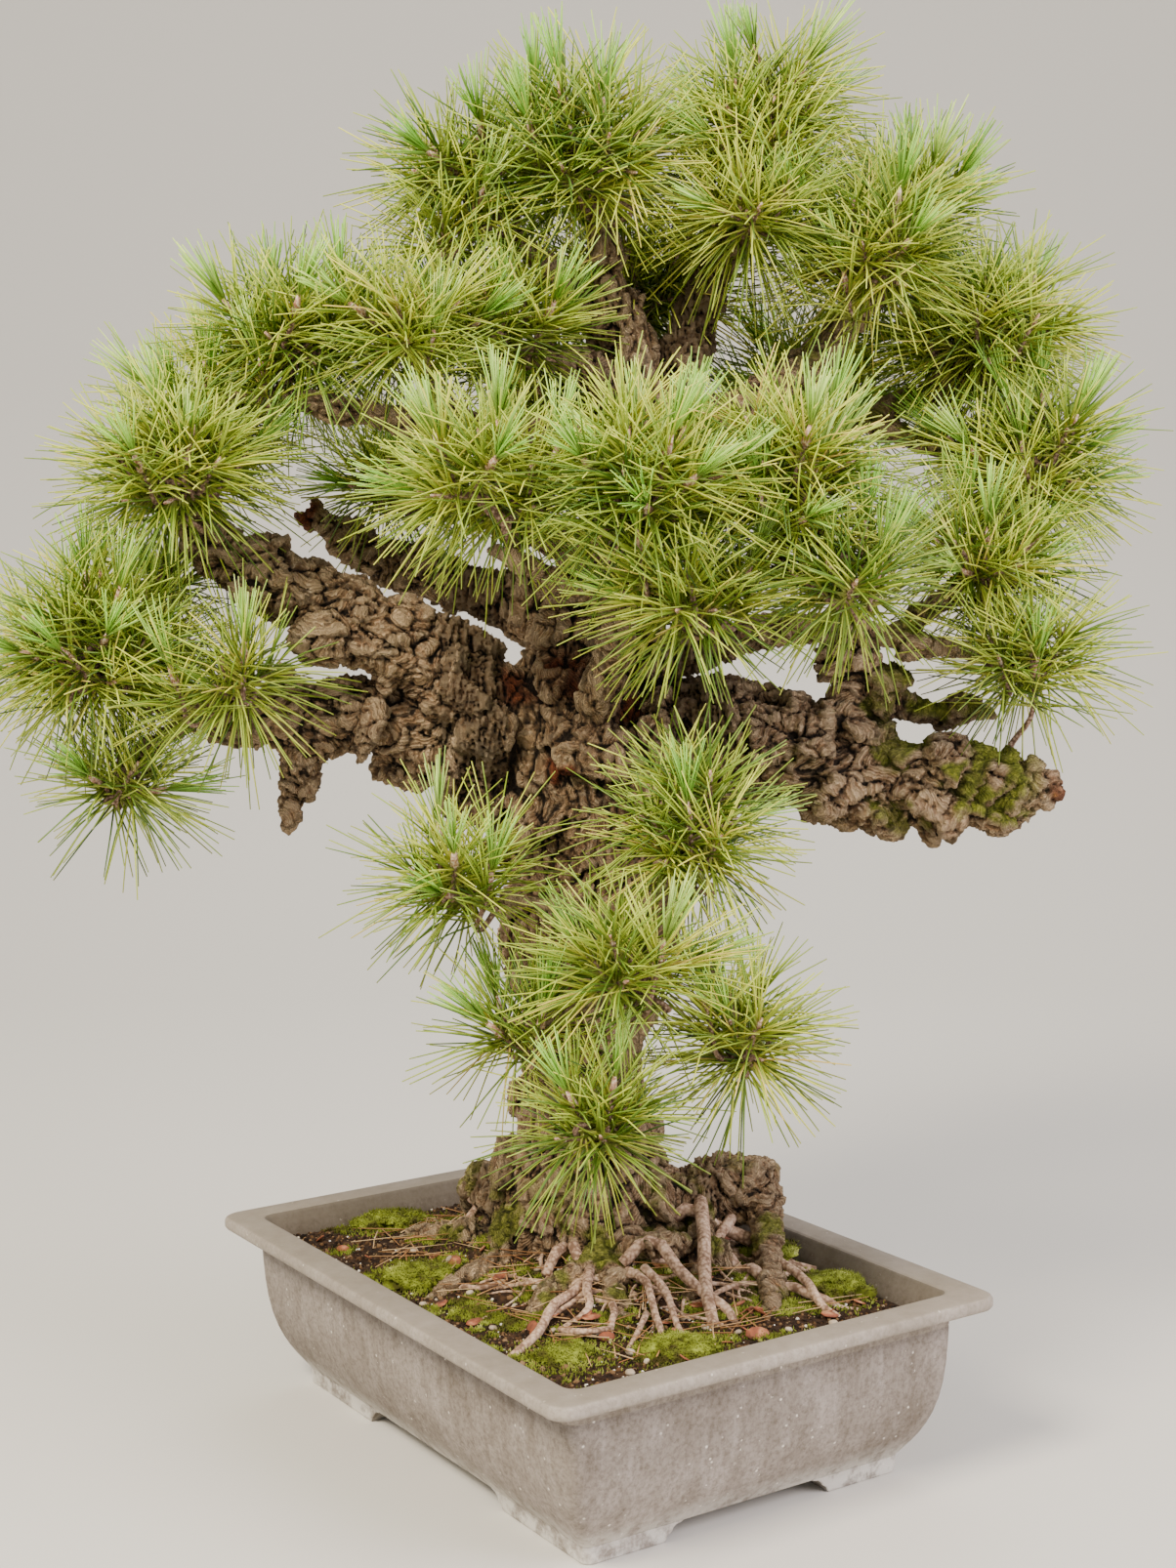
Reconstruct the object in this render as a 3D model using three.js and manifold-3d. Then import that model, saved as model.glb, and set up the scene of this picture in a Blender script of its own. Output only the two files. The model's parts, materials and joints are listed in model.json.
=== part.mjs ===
// Old black pine bonsai with winged, corky bark in a rectangular clay pot.
// Millimetres, +Z up. The pot's long sides run along X and the tree stands turned in it.

import * as THREE from 'three';
import { mergeVertices } from 'three/addons/utils/BufferGeometryUtils.js';
import Module from 'manifold-3d';

const wasm = await Module();
wasm.setup();

// Pot
const potLength = 550;          // over the rim, along X
const potWidth = 400;           // over the rim, along Y
const potHeight = 145;          // ground to the top of the rim
const rimHeight = 11;
const rimWidth = 27;            // the flat on top
const rimOverhang = 24;         // how far the rim stands proud of the wall
const rimCorner = 22;           // radius of the rim's corners seen from above
const wallThickness = 14;
const bowlInset = 25.5;         // how far the wall draws in from the rim's undercut to its foot
const floorThickness = 14;
const plinthHeight = 7;
const footHeight = 14;
const footLengthX = 115;        // each corner foot along the pot's long side
const footLengthY = 70;         // each corner foot along the pot's short side
const footSlope = 14;           // a foot's ends lean out to a wider top
const footWall = 26;
const footRecess = 6;           // how far the feet stand in from the bowl's lower edge
const footFlare = 1;            // how much wider the feet are at the top
const drainDiameter = 40;
const drainSpacing = 240;
const drainSeat = 72;           // side of the square of floor round each drain hole

// Planting
const screenSide = 64;
const screenThickness = 2;
const screenMesh = 20;          // pitch of the holes
const screenWire = 4;
const gravelDepth = 16;
const soilBelowRim = 20;        // at the wall
const mound = 45;               // how much the soil rises towards the trunk
const moundRadius = 150;
const moundRight = 35;          // the mound's middle, in the tree's directions
const moundBack = 45;
const soilUnevenness = 2.5;
const soilLumps = 34;           // breadth of the uneven places
const contact = 0.3;            // clearance between solids that touch

// Tree, measured from the pot's centre at the level of the rim
const treeTurn = 57;            // degrees about +Z
const treeHeight = 965;         // rim to the top of the needles
const designHeight = 965;       // the height that the limbs and foliage below are drawn at
const girth = 1;                // thickness of all the wood
const barkRelief = 0.13;        // depth of the bark's lumps, as a share of the limb's radius
const woodClearance = 0.5;      // between wood and foliage

const rise = treeHeight / designHeight;
const cornerSteps = 3;
const cornerVanishes = 110;     // inset at which the rounding of the pot's corners would reach zero

// Each limb is a list of [right, back, up, radius] in the tree's own directions.
const trunk = [
  [0, 52, -38, 84], [0, 50, 8, 80], [0, 48, 40, 66], [3, 46, 92, 50], [5, 44, 155, 46],
  [6, 42, 220, 50], [8, 42, 285, 62], [8, 42, 335, 74], [5, 42, 385, 80], [8, 44, 430, 68],
  [15, 46, 470, 50], [28, 48, 515, 40], [38, 50, 565, 36], [50, 50, 615, 33], [60, 50, 665, 28],
];

const limbs = {
  upperLeft: [
    [0, 40, 400, 44], [-45, 20, 430, 40], [-90, 0, 462, 34], [-135, -10, 493, 30], [-190, -15, 523, 28],
    [-240, -20, 550, 22], [-282, -30, 577, 17], [-300, -38, 610, 12], [-302, -48, 640, 7],
  ],
  lowerLeft: [
    [0, 45, 375, 44], [-60, 30, 400, 42], [-110, 20, 425, 36], [-155, 12, 436, 30], [-200, 8, 438, 26],
    [-245, 0, 442, 20], [-295, -12, 449, 14], [-340, -30, 462, 8],
  ],
  lowerLeftShard: [[-212, 5, 438, 19], [-222, 3, 402, 15], [-228, 0, 368, 10], [-230, 0, 353, 6]],
  lowerLeftTail: [[-290, -10, 449, 10], [-330, -25, 425, 8], [-355, -30, 402, 6]],
  deadLeft: [
    [0, 68, 490, 26], [-60, 108, 527, 23], [-130, 130, 553, 20], [-180, 138, 571, 17], [-224, 142, 608, 9],
  ],
  right: [
    [10, 40, 385, 54], [95, 15, 415, 48], [155, -8, 408, 41], [215, -20, 392, 38], [275, -26, 380, 34],
    [325, -30, 376, 27], [362, -30, 377, 19], [380, -30, 381, 10],
  ],
  rightStub: [[203, -20, 410, 27], [214, -16, 448, 22], [226, -10, 485, 17], [236, -8, 502, 8]],
  rightHook: [[218, -16, 438, 15], [258, -6, 446, 12], [288, 0, 433, 10], [318, 4, 438, 6]],
  frontCentre: [
    [0, 10, 405, 22], [20, -35, 460, 17], [30, -62, 495, 15], [44, -92, 530, 12], [44, -126, 560, 8],
  ],
  frontLeft: [[42, -88, 524, 10], [-10, -112, 548, 8], [-60, -125, 572, 6]],
  frontRight: [[42, -88, 524, 11], [95, -118, 536, 9], [150, -128, 552, 7], [190, -140, 540, 5]],
  rightLow: [
    [25, 38, 455, 24], [90, 20, 487, 17], [140, 0, 497, 14], [195, -18, 508, 12], [262, -30, 495, 9],
    [332, -30, 478, 6],
  ],
  rightRising: [[250, -28, 498, 9], [300, -5, 530, 7], [345, 35, 590, 6]],
  rightUpper: [
    [52, 52, 625, 25], [115, 72, 650, 20], [170, 98, 657, 15], [225, 112, 668, 12], [290, 105, 690, 9],
    [345, 92, 705, 6],
  ],
  rightMiddle: [[245, 110, 672, 8], [305, 90, 645, 7], [350, 70, 640, 5]],
  crownLeft: [[60, 50, 650, 26], [58, 46, 700, 22], [44, 40, 742, 18], [30, 30, 790, 13], [20, 22, 840, 7]],
  crownFarLeft: [[50, 44, 722, 13], [5, 34, 768, 10], [-45, 26, 820, 7]],
  crownRight: [[62, 50, 655, 26], [88, 60, 708, 22], [100, 68, 755, 17], [125, 68, 805, 13], [148, 60, 865, 7]],
  crownRightFront: [[104, 66, 765, 10], [125, 35, 795, 8], [138, 12, 810, 6]],
  shoulderRight: [[66, 52, 640, 24], [125, 58, 672, 18], [168, 58, 700, 14], [212, 48, 726, 11], [242, 38, 765, 7]],
  shoulderBack: [[168, 60, 700, 11], [225, 92, 755, 9], [268, 112, 820, 6]],
  upperInner: [[56, 46, 700, 18], [5, 34, 718, 13], [-45, 18, 722, 9]],
  left: [
    [48, 46, 620, 22], [-10, 20, 652, 16], [-72, -5, 665, 13], [-150, -30, 672, 11], [-215, -34, 690, 9],
    [-262, -20, 690, 7],
  ],
  leftFront: [[-78, -8, 666, 9], [-105, -30, 690, 8], [-116, -38, 712, 6]],
  backLeft: [[30, 62, 552, 20], [-25, 105, 582, 14], [-85, 128, 602, 11], [-140, 140, 612, 7]],
  back: [[45, 62, 600, 20], [32, 110, 632, 15], [15, 150, 655, 10], [6, 165, 672, 7]],
  backRight: [[52, 62, 618, 19], [105, 118, 650, 13], [160, 152, 672, 10], [195, 166, 688, 7]],
  backCrown: [[60, 60, 672, 16], [58, 92, 712, 12], [56, 112, 750, 7]],
  front: [
    [40, 15, 400, 20], [70, -50, 374, 15], [80, -100, 345, 12], [72, -145, 305, 10], [55, -172, 268, 8],
    [40, -182, 215, 7], [20, -184, 172, 5],
  ],
  frontHigh: [[80, -100, 345, 10], [85, -125, 372, 7]],
  frontLowLeft: [[72, -145, 305, 8], [10, -142, 302, 7], [-55, -120, 312, 5]],
  frontLowest: [[55, -172, 268, 7], [10, -165, 240, 6], [-30, -155, 222, 5]],
  frontLowRight: [[66, -160, 285, 7], [98, -160, 255, 6], [116, -155, 222, 5]],
};

const roots = {
  shoulder: [[45, 42, -12, 42], [92, 44, 22, 31], [132, 50, 36, 25], [158, 60, 38, 17]],
  shoulderDrop: [[146, 50, 34, 18], [150, 18, 22, 14], [148, -28, 5, 11], [148, -72, -8, 9], [142, -108, -22, 8]],
  shoulderFront: [[104, 44, 26, 15], [100, 12, 18, 12], [94, -20, 10, 10], [88, -52, -4, 9], [78, -95, -16, 7]],
  arch: [[60, 0, -6, 16], [38, -28, 18, 13], [8, -44, 8, 11], [-20, -74, -4, 10], [-42, -104, -20, 8]],
  bridge: [[10, -40, 8, 10], [45, -42, 15, 10], [82, -40, 15, 9], [112, -36, 4, 9], [124, -50, -12, 8]],
  front: [[22, -18, -6, 18], [22, -60, 2, 13], [24, -95, -8, 10], [32, -128, -22, 8]],
  left: [[-50, 52, 10, 24], [-78, 88, 30, 16], [-92, 120, 28, 11], [-100, 148, 8, 9], [-104, 172, -14, 8]],
  leftLow: [[-58, 42, -14, 20], [-98, 62, -6, 13], [-138, 84, -14, 9], [-170, 100, -28, 7]],
  leftFront: [[-52, 12, -12, 18], [-82, -14, -8, 12], [-108, -40, -18, 9], [-128, -58, -30, 7]],
  back: [[8, 100, -10, 24], [14, 140, -8, 14], [20, 180, -24, 9]],
};

// Each mass of needles is [right, back, up, half width, half depth, half height].
const foliage = {
  apex_centre: [15, 15, 870, 80, 90, 80],
  apex_left: [-68, 25, 880, 76, 85, 84],
  apex_low_left: [-95, 0, 812, 62, 70, 48],
  apex_right: [155, 60, 900, 70, 85, 80],
  apex_right_front: [140, 0, 825, 66, 70, 58],
  shoulder_right: [240, 30, 795, 76, 80, 70],
  shoulder_back: [275, 115, 845, 72, 65, 52],
  right_upper: [340, 90, 735, 90, 90, 75],
  right_middle: [368, 60, 635, 76, 90, 70],
  right_inner: [320, 0, 555, 76, 80, 60],
  right_low: [355, -25, 478, 66, 70, 56],
  centre_left: [-60, -120, 618, 86, 80, 60],
  centre: [50, -150, 612, 72, 80, 76],
  centre_right: [155, -130, 615, 74, 80, 72],
  centre_right_low: [200, -142, 545, 68, 70, 52],
  centre_low: [90, -145, 535, 80, 70, 48],
  left_inner: [-50, 10, 745, 62, 75, 60],
  left_upper: [-118, -40, 742, 68, 80, 66],
  left_outer: [-215, -20, 732, 78, 80, 66],
  left_shoulder: [-290, 25, 682, 66, 75, 56],
  left_middle: [-300, -55, 632, 82, 80, 64],
  left_low_back: [-325, 25, 545, 70, 62, 52],
  left_low: [-365, -50, 492, 84, 85, 76],
  left_low_front: [-255, -75, 475, 66, 65, 64],
  left_tail: [-360, -30, 398, 58, 60, 56],
  low_left: [-82, -112, 325, 78, 75, 62],
  low_right: [85, -135, 362, 72, 75, 82],
  low_centre: [35, -185, 268, 74, 75, 70],
  low_left_front: [-45, -155, 215, 68, 70, 56],
  low_bottom: [10, -185, 155, 64, 70, 68],
  low_right_front: [120, -152, 205, 62, 70, 76],
  back_centre: [5, 172, 690, 76, 80, 66],
  back_left: [-150, 145, 632, 76, 70, 52],
  back_right: [205, 175, 700, 76, 80, 66],
  back_crown: [58, 118, 780, 80, 75, 66],
};

// Each moss cushion is [right, back, half width, half depth, height above the soil].
const mossCushions = [
  [-170, 140, 40, 34, 12], [-135, -15, 36, 28, 10], [190, -62, 40, 30, 12],
  [70, -178, 34, 28, 11], [150, 5, 30, 34, 13], [-15, -190, 28, 24, 9],
];

const clay = material(0x8f857a, 0.85);
const plasticMesh = material(0x2c2f30, 0.6);
const gravel = material(0x9c8f7e, 0.95);
const soilMix = material(0x33261b, 0.98);
const bark = material(0x6f5b48, 0.95);
const needles = material(0x5d8431, 0.6);
const moss = material(0x6f8f2c, 0.98);

function material(color, roughness) {
  return new THREE.MeshStandardMaterial({ color, roughness, metalness: 0 });
}

function solidOf(geometry) {
  geometry.deleteAttribute('normal');
  geometry.deleteAttribute('uv');
  const merged = mergeVertices(geometry, 1e-3);
  return new wasm.Manifold(new wasm.Mesh({
    numProp: 3,
    vertProperties: Float32Array.from(merged.attributes.position.array),
    triVerts: Uint32Array.from(merged.index.array),
  }));
}

function meshOf(name, solid, surface) {
  const { numProp, vertProperties, triVerts } = solid.getMesh();
  const points = new Float32Array((vertProperties.length / numProp) * 3);
  for (let i = 0; i < points.length / 3; i += 1) {
    points.set(vertProperties.subarray(i * numProp, i * numProp + 3), i * 3);
  }
  const geometry = new THREE.BufferGeometry();
  geometry.setAttribute('position', new THREE.BufferAttribute(points, 3));
  geometry.setIndex(new THREE.BufferAttribute(Uint32Array.from(triVerts), 1));
  geometry.computeVertexNormals();
  const mesh = new THREE.Mesh(geometry, surface);
  mesh.name = name;
  return mesh;
}

// A cylinder whose rings are put in new places: place(side, step, onAxis) gives a point.
function loft(sides, steps, place) {
  const geometry = new THREE.CylinderGeometry(1, 1, 1, sides, steps);
  const position = geometry.attributes.position;
  for (let i = 0; i < position.count; i += 1) {
    const x = position.getX(i);
    const z = position.getZ(i);
    const onAxis = Math.hypot(x, z) < 0.5;
    const side = (Math.round((Math.atan2(x, z) / (2 * Math.PI)) * sides) + sides) % sides;
    const step = Math.round((position.getY(i) + 0.5) * steps);
    const point = place(side, step, onAxis);
    position.setXYZ(i, point.x, point.y, point.z);
  }
  return geometry;
}

// Gentle, repeatable lumps, from -1 to 1
function lumps(x, y, z, size) {
  const a = Math.sin(x / size + 1.9 * Math.sin(y / size)) * Math.sin(z / size + 1.3);
  const b = Math.sin(1.7 * (y / size) + 1.4 * Math.sin(z / size) + 0.7) * Math.cos(1.3 * (x / size));
  return 0.6 * a + 0.4 * b;
}

// Turns a shape from the tree's own directions into the pot's and sets it at the rim's level.
function planted(geometry) {
  return geometry.rotateZ(THREE.MathUtils.degToRad(treeTurn)).translate(0, 0, potHeight);
}

// ---- pot ----

function potOutline(inset) {
  const radius = rimCorner * (1 - inset / cornerVanishes);
  const x = potLength / 2 - inset - radius;
  const y = potWidth / 2 - inset - radius;
  const centres = [[x, y], [-x, y], [-x, -y], [x, -y]];
  return centres.flatMap(([cx, cy], quarter) => Array.from({ length: cornerSteps + 1 }, (_, i) => {
    const angle = (quarter + i / cornerSteps) * (Math.PI / 2);
    return new THREE.Vector2(cx + radius * Math.cos(angle), cy + radius * Math.sin(angle));
  }));
}

const outlineSides = 4 * (cornerSteps + 1);

// A solid through rounded rectangles, each level being [inset from the rim's outside, height].
function potStack(levels) {
  return solidOf(loft(outlineSides, levels.length - 1, (side, step, onAxis) => {
    const [inset, height] = levels[step];
    const point = potOutline(inset)[side];
    return onAxis ? new THREE.Vector3(0, 0, height) : new THREE.Vector3(point.x, point.y, height);
  }));
}

const underside = footHeight;
const bedLevel = footHeight + floorThickness;
const wallTop = potHeight - rimHeight;
const footInset = rimOverhang + bowlInset;

// The outside wall draws in slowly, then round to the foot; share runs from 0 under the rim to 1.
function wallInset(share) {
  return rimOverhang + bowlInset * (0.16 * share + 0.84 * share ** 4);
}

function wallHeight(share) {
  return wallTop + (underside + plinthHeight - wallTop) * share;
}

const wallShares = [1, 0.88, 0.74, 0.55, 0.3, 0.04];

// The inside starts at the rim's inner edge and slopes in until the wall has its thickness.
function bedLevelAt(height) {
  const share = THREE.MathUtils.clamp((wallTop - height) / (wallTop - underside - plinthHeight), 0, 1);
  const slope = THREE.MathUtils.clamp((potHeight - height) / soilBelowRim, 0, 1);
  const inside = wallInset(share) + wallThickness;
  return [rimWidth + (inside - rimWidth) * slope, height];
}

const bedCurve = [0, 0.1, 0.22, 0.36, 0.5, 0.68, 0.84, 1]
  .map((share) => bedLevelAt(bedLevel + (potHeight - bedLevel) * share));

function bedInset(height) {
  const above = Math.max(1, bedCurve.findIndex((level) => level[1] >= height));
  const [[lowInset, low], [highInset, high]] = bedCurve.slice(above - 1, above + 1);
  return THREE.MathUtils.mapLinear(height, low, high, lowInset, highInset);
}

function bowl() {
  const levels = [[footInset + footRecess - footFlare, underside]];
  wallShares.forEach((share) => levels.push([wallInset(share), wallHeight(share)]));
  levels.push([rimOverhang - 2, wallTop - 1], [3, wallTop], [0, wallTop + 2]);
  levels.push([0, potHeight - 3], [1, potHeight - 1], [3, potHeight]);
  return potStack(levels);
}

// The space inside the pot between two heights, drawn in by a clearance
function bedLevels(low, high, clearance) {
  const between = bedCurve.map((level) => level[1]).filter((height) => height > low + 1 && height < high - 1);
  return [low, ...between, high].map((height) => [bedInset(height) + clearance, height]);
}

// The gap between two feet, along an axis, as a slab with leaning ends
function footGap(halfBottom, length) {
  const profile = new THREE.Shape([
    new THREE.Vector2(-halfBottom - 1 * (footSlope / footHeight), -1),
    new THREE.Vector2(halfBottom + 1 * (footSlope / footHeight), -1),
    new THREE.Vector2(halfBottom - footSlope, footHeight),
    new THREE.Vector2(halfBottom - footSlope, footHeight + 1),
    new THREE.Vector2(-halfBottom + footSlope, footHeight + 1),
    new THREE.Vector2(-halfBottom + footSlope, footHeight),
  ]);
  const geometry = new THREE.ExtrudeGeometry(profile, { depth: length, bevelEnabled: false });
  return geometry.translate(0, 0, -length / 2).rotateX(Math.PI / 2);
}

function drainHole(x) {
  const geometry = new THREE.CylinderGeometry(drainDiameter / 2, drainDiameter / 2, bedLevel * 2, 24);
  return solidOf(geometry.rotateX(Math.PI / 2).translate(x, 0, bedLevel / 2));
}

// The walls, the floor, the seats round its drain holes and the four corner feet are fired as one
// body of clay, and meet face to face.
function potWalls() {
  return bowl()
    .trimByPlane([0, 0, 1], bedLevel)
    .subtract(potStack([...bedLevels(bedLevel, potHeight, 0), [rimWidth, potHeight + 5]]));
}

function seatBlock(x) {
  return solidOf(new THREE.BoxGeometry(drainSeat, drainSeat, 3 * bedLevel).translate(x, 0, 0));
}

function potFloor() {
  return bowl()
    .trimByPlane([0, 0, -1], -bedLevel)
    .subtract(seatBlock(-drainSpacing / 2))
    .subtract(seatBlock(drainSpacing / 2));
}

function drainRing(x) {
  return bowl()
    .trimByPlane([0, 0, -1], -bedLevel)
    .intersect(seatBlock(x))
    .subtract(drainHole(x));
}

function potFeet() {
  const footEdge = footInset + footRecess;
  const gapX = potLength / 2 - footEdge - footLengthX;
  const gapY = potWidth / 2 - footEdge - footLengthY;
  const recess = new THREE.BoxGeometry(
    potLength - 2 * (footEdge + footWall), potWidth - 2 * (footEdge + footWall), 3 * footHeight,
  );
  return potStack([[footEdge, 0], [footEdge - footFlare, underside]])
    .subtract(solidOf(footGap(gapX, potWidth)))
    .subtract(solidOf(footGap(gapY, potLength).rotateZ(Math.PI / 2)))
    .subtract(solidOf(recess))
    .decompose();
}

function footName(foot) {
  const { min } = foot.boundingBox();
  return `pot_foot_${min[1] < 0 ? 'front' : 'back'}_${min[0] < 0 ? 'left' : 'right'}`;
}

// ---- planting bed ----

function drainScreen(x) {
  const sheet = new THREE.BoxGeometry(screenSide, screenSide, screenThickness);
  const count = Math.floor((screenSide - screenWire) / screenMesh);
  const opening = screenMesh - screenWire;
  const level = bedLevel + contact + screenThickness / 2;
  let screen = solidOf(sheet.translate(x, 0, level));
  for (let row = 0; row < count; row += 1) {
    for (let column = 0; column < count; column += 1) {
      const hole = new THREE.BoxGeometry(opening, opening, 2 * screenThickness);
      const right = (column - (count - 1) / 2) * screenMesh;
      const back = (row - (count - 1) / 2) * screenMesh;
      screen = screen.subtract(solidOf(hole.translate(x + right, back, level)));
    }
  }
  return screen;
}

function screenRoom(x) {
  const side = screenSide + 2 * contact;
  const height = screenThickness + 3 * contact;
  const room = new THREE.BoxGeometry(side, side, 2 * height);
  return solidOf(room.translate(x, 0, bedLevel));
}

const gravelTop = bedLevel + gravelDepth;
const soilEdge = potHeight - soilBelowRim;

function gravelLayer() {
  return potStack(bedLevels(bedLevel + contact, gravelTop - contact, contact))
    .subtract(screenRoom(-drainSpacing / 2))
    .subtract(screenRoom(drainSpacing / 2));
}

// Height of the soil: a mound about the trunk, level at the wall
function soilHeight(x, y) {
  const turn = THREE.MathUtils.degToRad(-treeTurn);
  const right = x * Math.cos(turn) - y * Math.sin(turn);
  const back = x * Math.sin(turn) + y * Math.cos(turn);
  const distance = Math.hypot(right - moundRight, back - moundBack) / moundRadius;
  const hill = mound * Math.exp(-(distance ** 2) * 1.2);
  return soilEdge + hill + soilUnevenness * lumps(x, y, 0, soilLumps);
}

// The planting soil up to its surface, which can be raised and widened to make room for what lies on it
function soilBody(lift) {
  const inset = bedInset(soilEdge - 4) + contact - lift;
  const sideLevels = bedLevels(gravelTop, soilEdge - 4, contact - lift);
  const shares = [0.99, 0.8, 0.6, 0.42, 0.24, 0.1];
  const edge = potOutline(inset);
  return solidOf(loft(outlineSides, sideLevels.length - 1 + shares.length, (side, step, onAxis) => {
    if (step < sideLevels.length) {
      const [levelInset, height] = sideLevels[step];
      const point = potOutline(levelInset)[side];
      return onAxis ? new THREE.Vector3(0, 0, height) : new THREE.Vector3(point.x, point.y, height);
    }
    const point = edge[side].clone().multiplyScalar(onAxis ? 0 : shares[step - sideLevels.length]);
    return new THREE.Vector3(point.x, point.y, soilHeight(point.x, point.y) + lift);
  }));
}

// ---- tree ----

function limb(points, sides, relief, swell) {
  const path = new THREE.CatmullRomCurve3(
    points.map(([right, back, up]) => new THREE.Vector3(right, back, up * rise)), false, 'centripetal',
  );
  const steps = (points.length - 1) * (thickest(points) > 24 ? 2 : 1);
  const frames = path.computeFrenetFrames(steps);
  const radiusAt = (share) => {
    const place = path.getUtoTmapping(share) * (points.length - 1);
    const low = Math.min(Math.floor(place), points.length - 2);
    return THREE.MathUtils.lerp(points[low][3], points[low + 1][3], place - low) * girth;
  };
  return planted(loft(sides, steps, (side, step, onAxis) => {
    const share = step / steps;
    const centre = path.getPointAt(share);
    const ends = (step === steps ? 1 : 0) - (step === 0 ? 1 : 0);
    centre.addScaledVector(frames.tangents[step], ends * swell);
    if (onAxis) return centre;
    const angle = (2 * Math.PI * side) / sides;
    const outward = frames.normals[step].clone().multiplyScalar(Math.cos(angle))
      .addScaledVector(frames.binormals[step], Math.sin(angle));
    const radius = radiusAt(share);
    const bump = lumps(...centre.clone().addScaledVector(outward, radius).toArray(), radius * 0.9);
    return centre.addScaledVector(outward, radius * (1 + relief * bump) + swell);
  }));
}

function thickest(points) {
  return Math.max(...points.map((point) => point[3]));
}

function limbSides(points) {
  if (thickest(points) > 50) return 14;
  if (thickest(points) > 24) return 9;
  return thickest(points) > 12 ? 6 : 5;
}

// All the wood in one piece, or swollen to cut clearance for what touches it
function wood(swell) {
  const parts = [trunk, ...Object.values(limbs), ...Object.values(roots)]
    .map((points) => solidOf(limb(points, limbSides(points), barkRelief, swell)));
  return filled(parts.reduce((whole, part) => whole.add(part)));
}

// The outermost skin alone, so that pockets shut in between limbs are solid wood
function filled(solid) {
  return solid.decompose().reduce((a, b) => (b.volume() > a.volume() ? b : a));
}

// ---- foliage and moss ----

function needleMass([right, back, up, halfWidth, halfDepth, halfHeight], swell) {
  const geometry = new THREE.IcosahedronGeometry(1, 1);
  const position = geometry.attributes.position;
  for (let i = 0; i < position.count; i += 1) {
    const x = position.getX(i);
    const y = position.getY(i);
    const z = position.getZ(i);
    const flat = z < 0 ? 0.8 : 1;
    const bump = 1 + 0.07 * lumps(x * 40 + right, y * 40 + back, z * 40, 22);
    position.setXYZ(
      i,
      right + x * (halfWidth * bump + swell),
      back + y * (halfDepth * bump + swell),
      up * rise + z * flat * (halfHeight * rise * bump + swell),
    );
  }
  return solidOf(planted(geometry));
}

function mossCushion([right, back, halfWidth, halfDepth, height]) {
  const geometry = new THREE.IcosahedronGeometry(1, 1).scale(halfWidth, halfDepth, height);
  geometry.translate(right, back, 0).rotateZ(THREE.MathUtils.degToRad(treeTurn));
  const turn = THREE.MathUtils.degToRad(treeTurn);
  const x = right * Math.cos(turn) - back * Math.sin(turn);
  const y = right * Math.sin(turn) + back * Math.cos(turn);
  return solidOf(geometry.translate(0, 0, soilHeight(x, y)));
}

// ---- assembly ----

const part = new THREE.Group();
const planting = new THREE.Group();
part.add(planting);

const tree = wood(0);
const treeRoom = wood(contact + 0.1);
const foliageRoom = wood(woodClearance);

planting.add(meshOf('pot', potWalls(), clay));
planting.add(meshOf('pot_floor', potFloor(), clay));
potFeet().forEach((foot) => planting.add(meshOf(footName(foot), foot, clay)));
[['left', -drainSpacing / 2], ['right', drainSpacing / 2]].forEach(([side, x]) => {
  planting.add(meshOf(`pot_drain_${side}`, drainRing(x), clay));
  planting.add(meshOf(`drain_screen_${side}`, drainScreen(x), plasticMesh));
});
planting.add(meshOf('drainage_gravel', gravelLayer(), gravel));
planting.add(meshOf('soil', soilBody(0).subtract(treeRoom), soilMix));
planting.add(meshOf('tree', tree, bark));

const soilTop = soilBody(contact);
const insidePot = potStack(bedLevels(bedLevel, potHeight, contact));
mossCushions.forEach((cushion, i) => {
  const body = mossCushion(cushion).intersect(insidePot).subtract(soilTop).subtract(treeRoom);
  planting.add(meshOf(`moss_${i + 1}`, body, moss));
});

const placed = [];
Object.entries(foliage).forEach(([name, size]) => {
  let body = needleMass(size, 0).subtract(foliageRoom);
  placed.forEach((earlier) => {
    body = body.subtract(earlier);
  });
  placed.push(needleMass(size, contact));
  planting.add(meshOf(`foliage_${name}`, body, needles));
});

// The origin is on the ground, under the middle of the whole plant.
const bounds = new THREE.Box3().setFromObject(planting);
const middle = bounds.getCenter(new THREE.Vector3());
planting.position.set(-middle.x, -middle.y, -bounds.min.z);

export default part;
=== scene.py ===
import json
import math
import random

import bmesh
import bpy
import numpy as np
from mathutils import Matrix, Vector, noise
from mathutils.bvhtree import BVHTree
from mathutils.kdtree import KDTree

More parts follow.
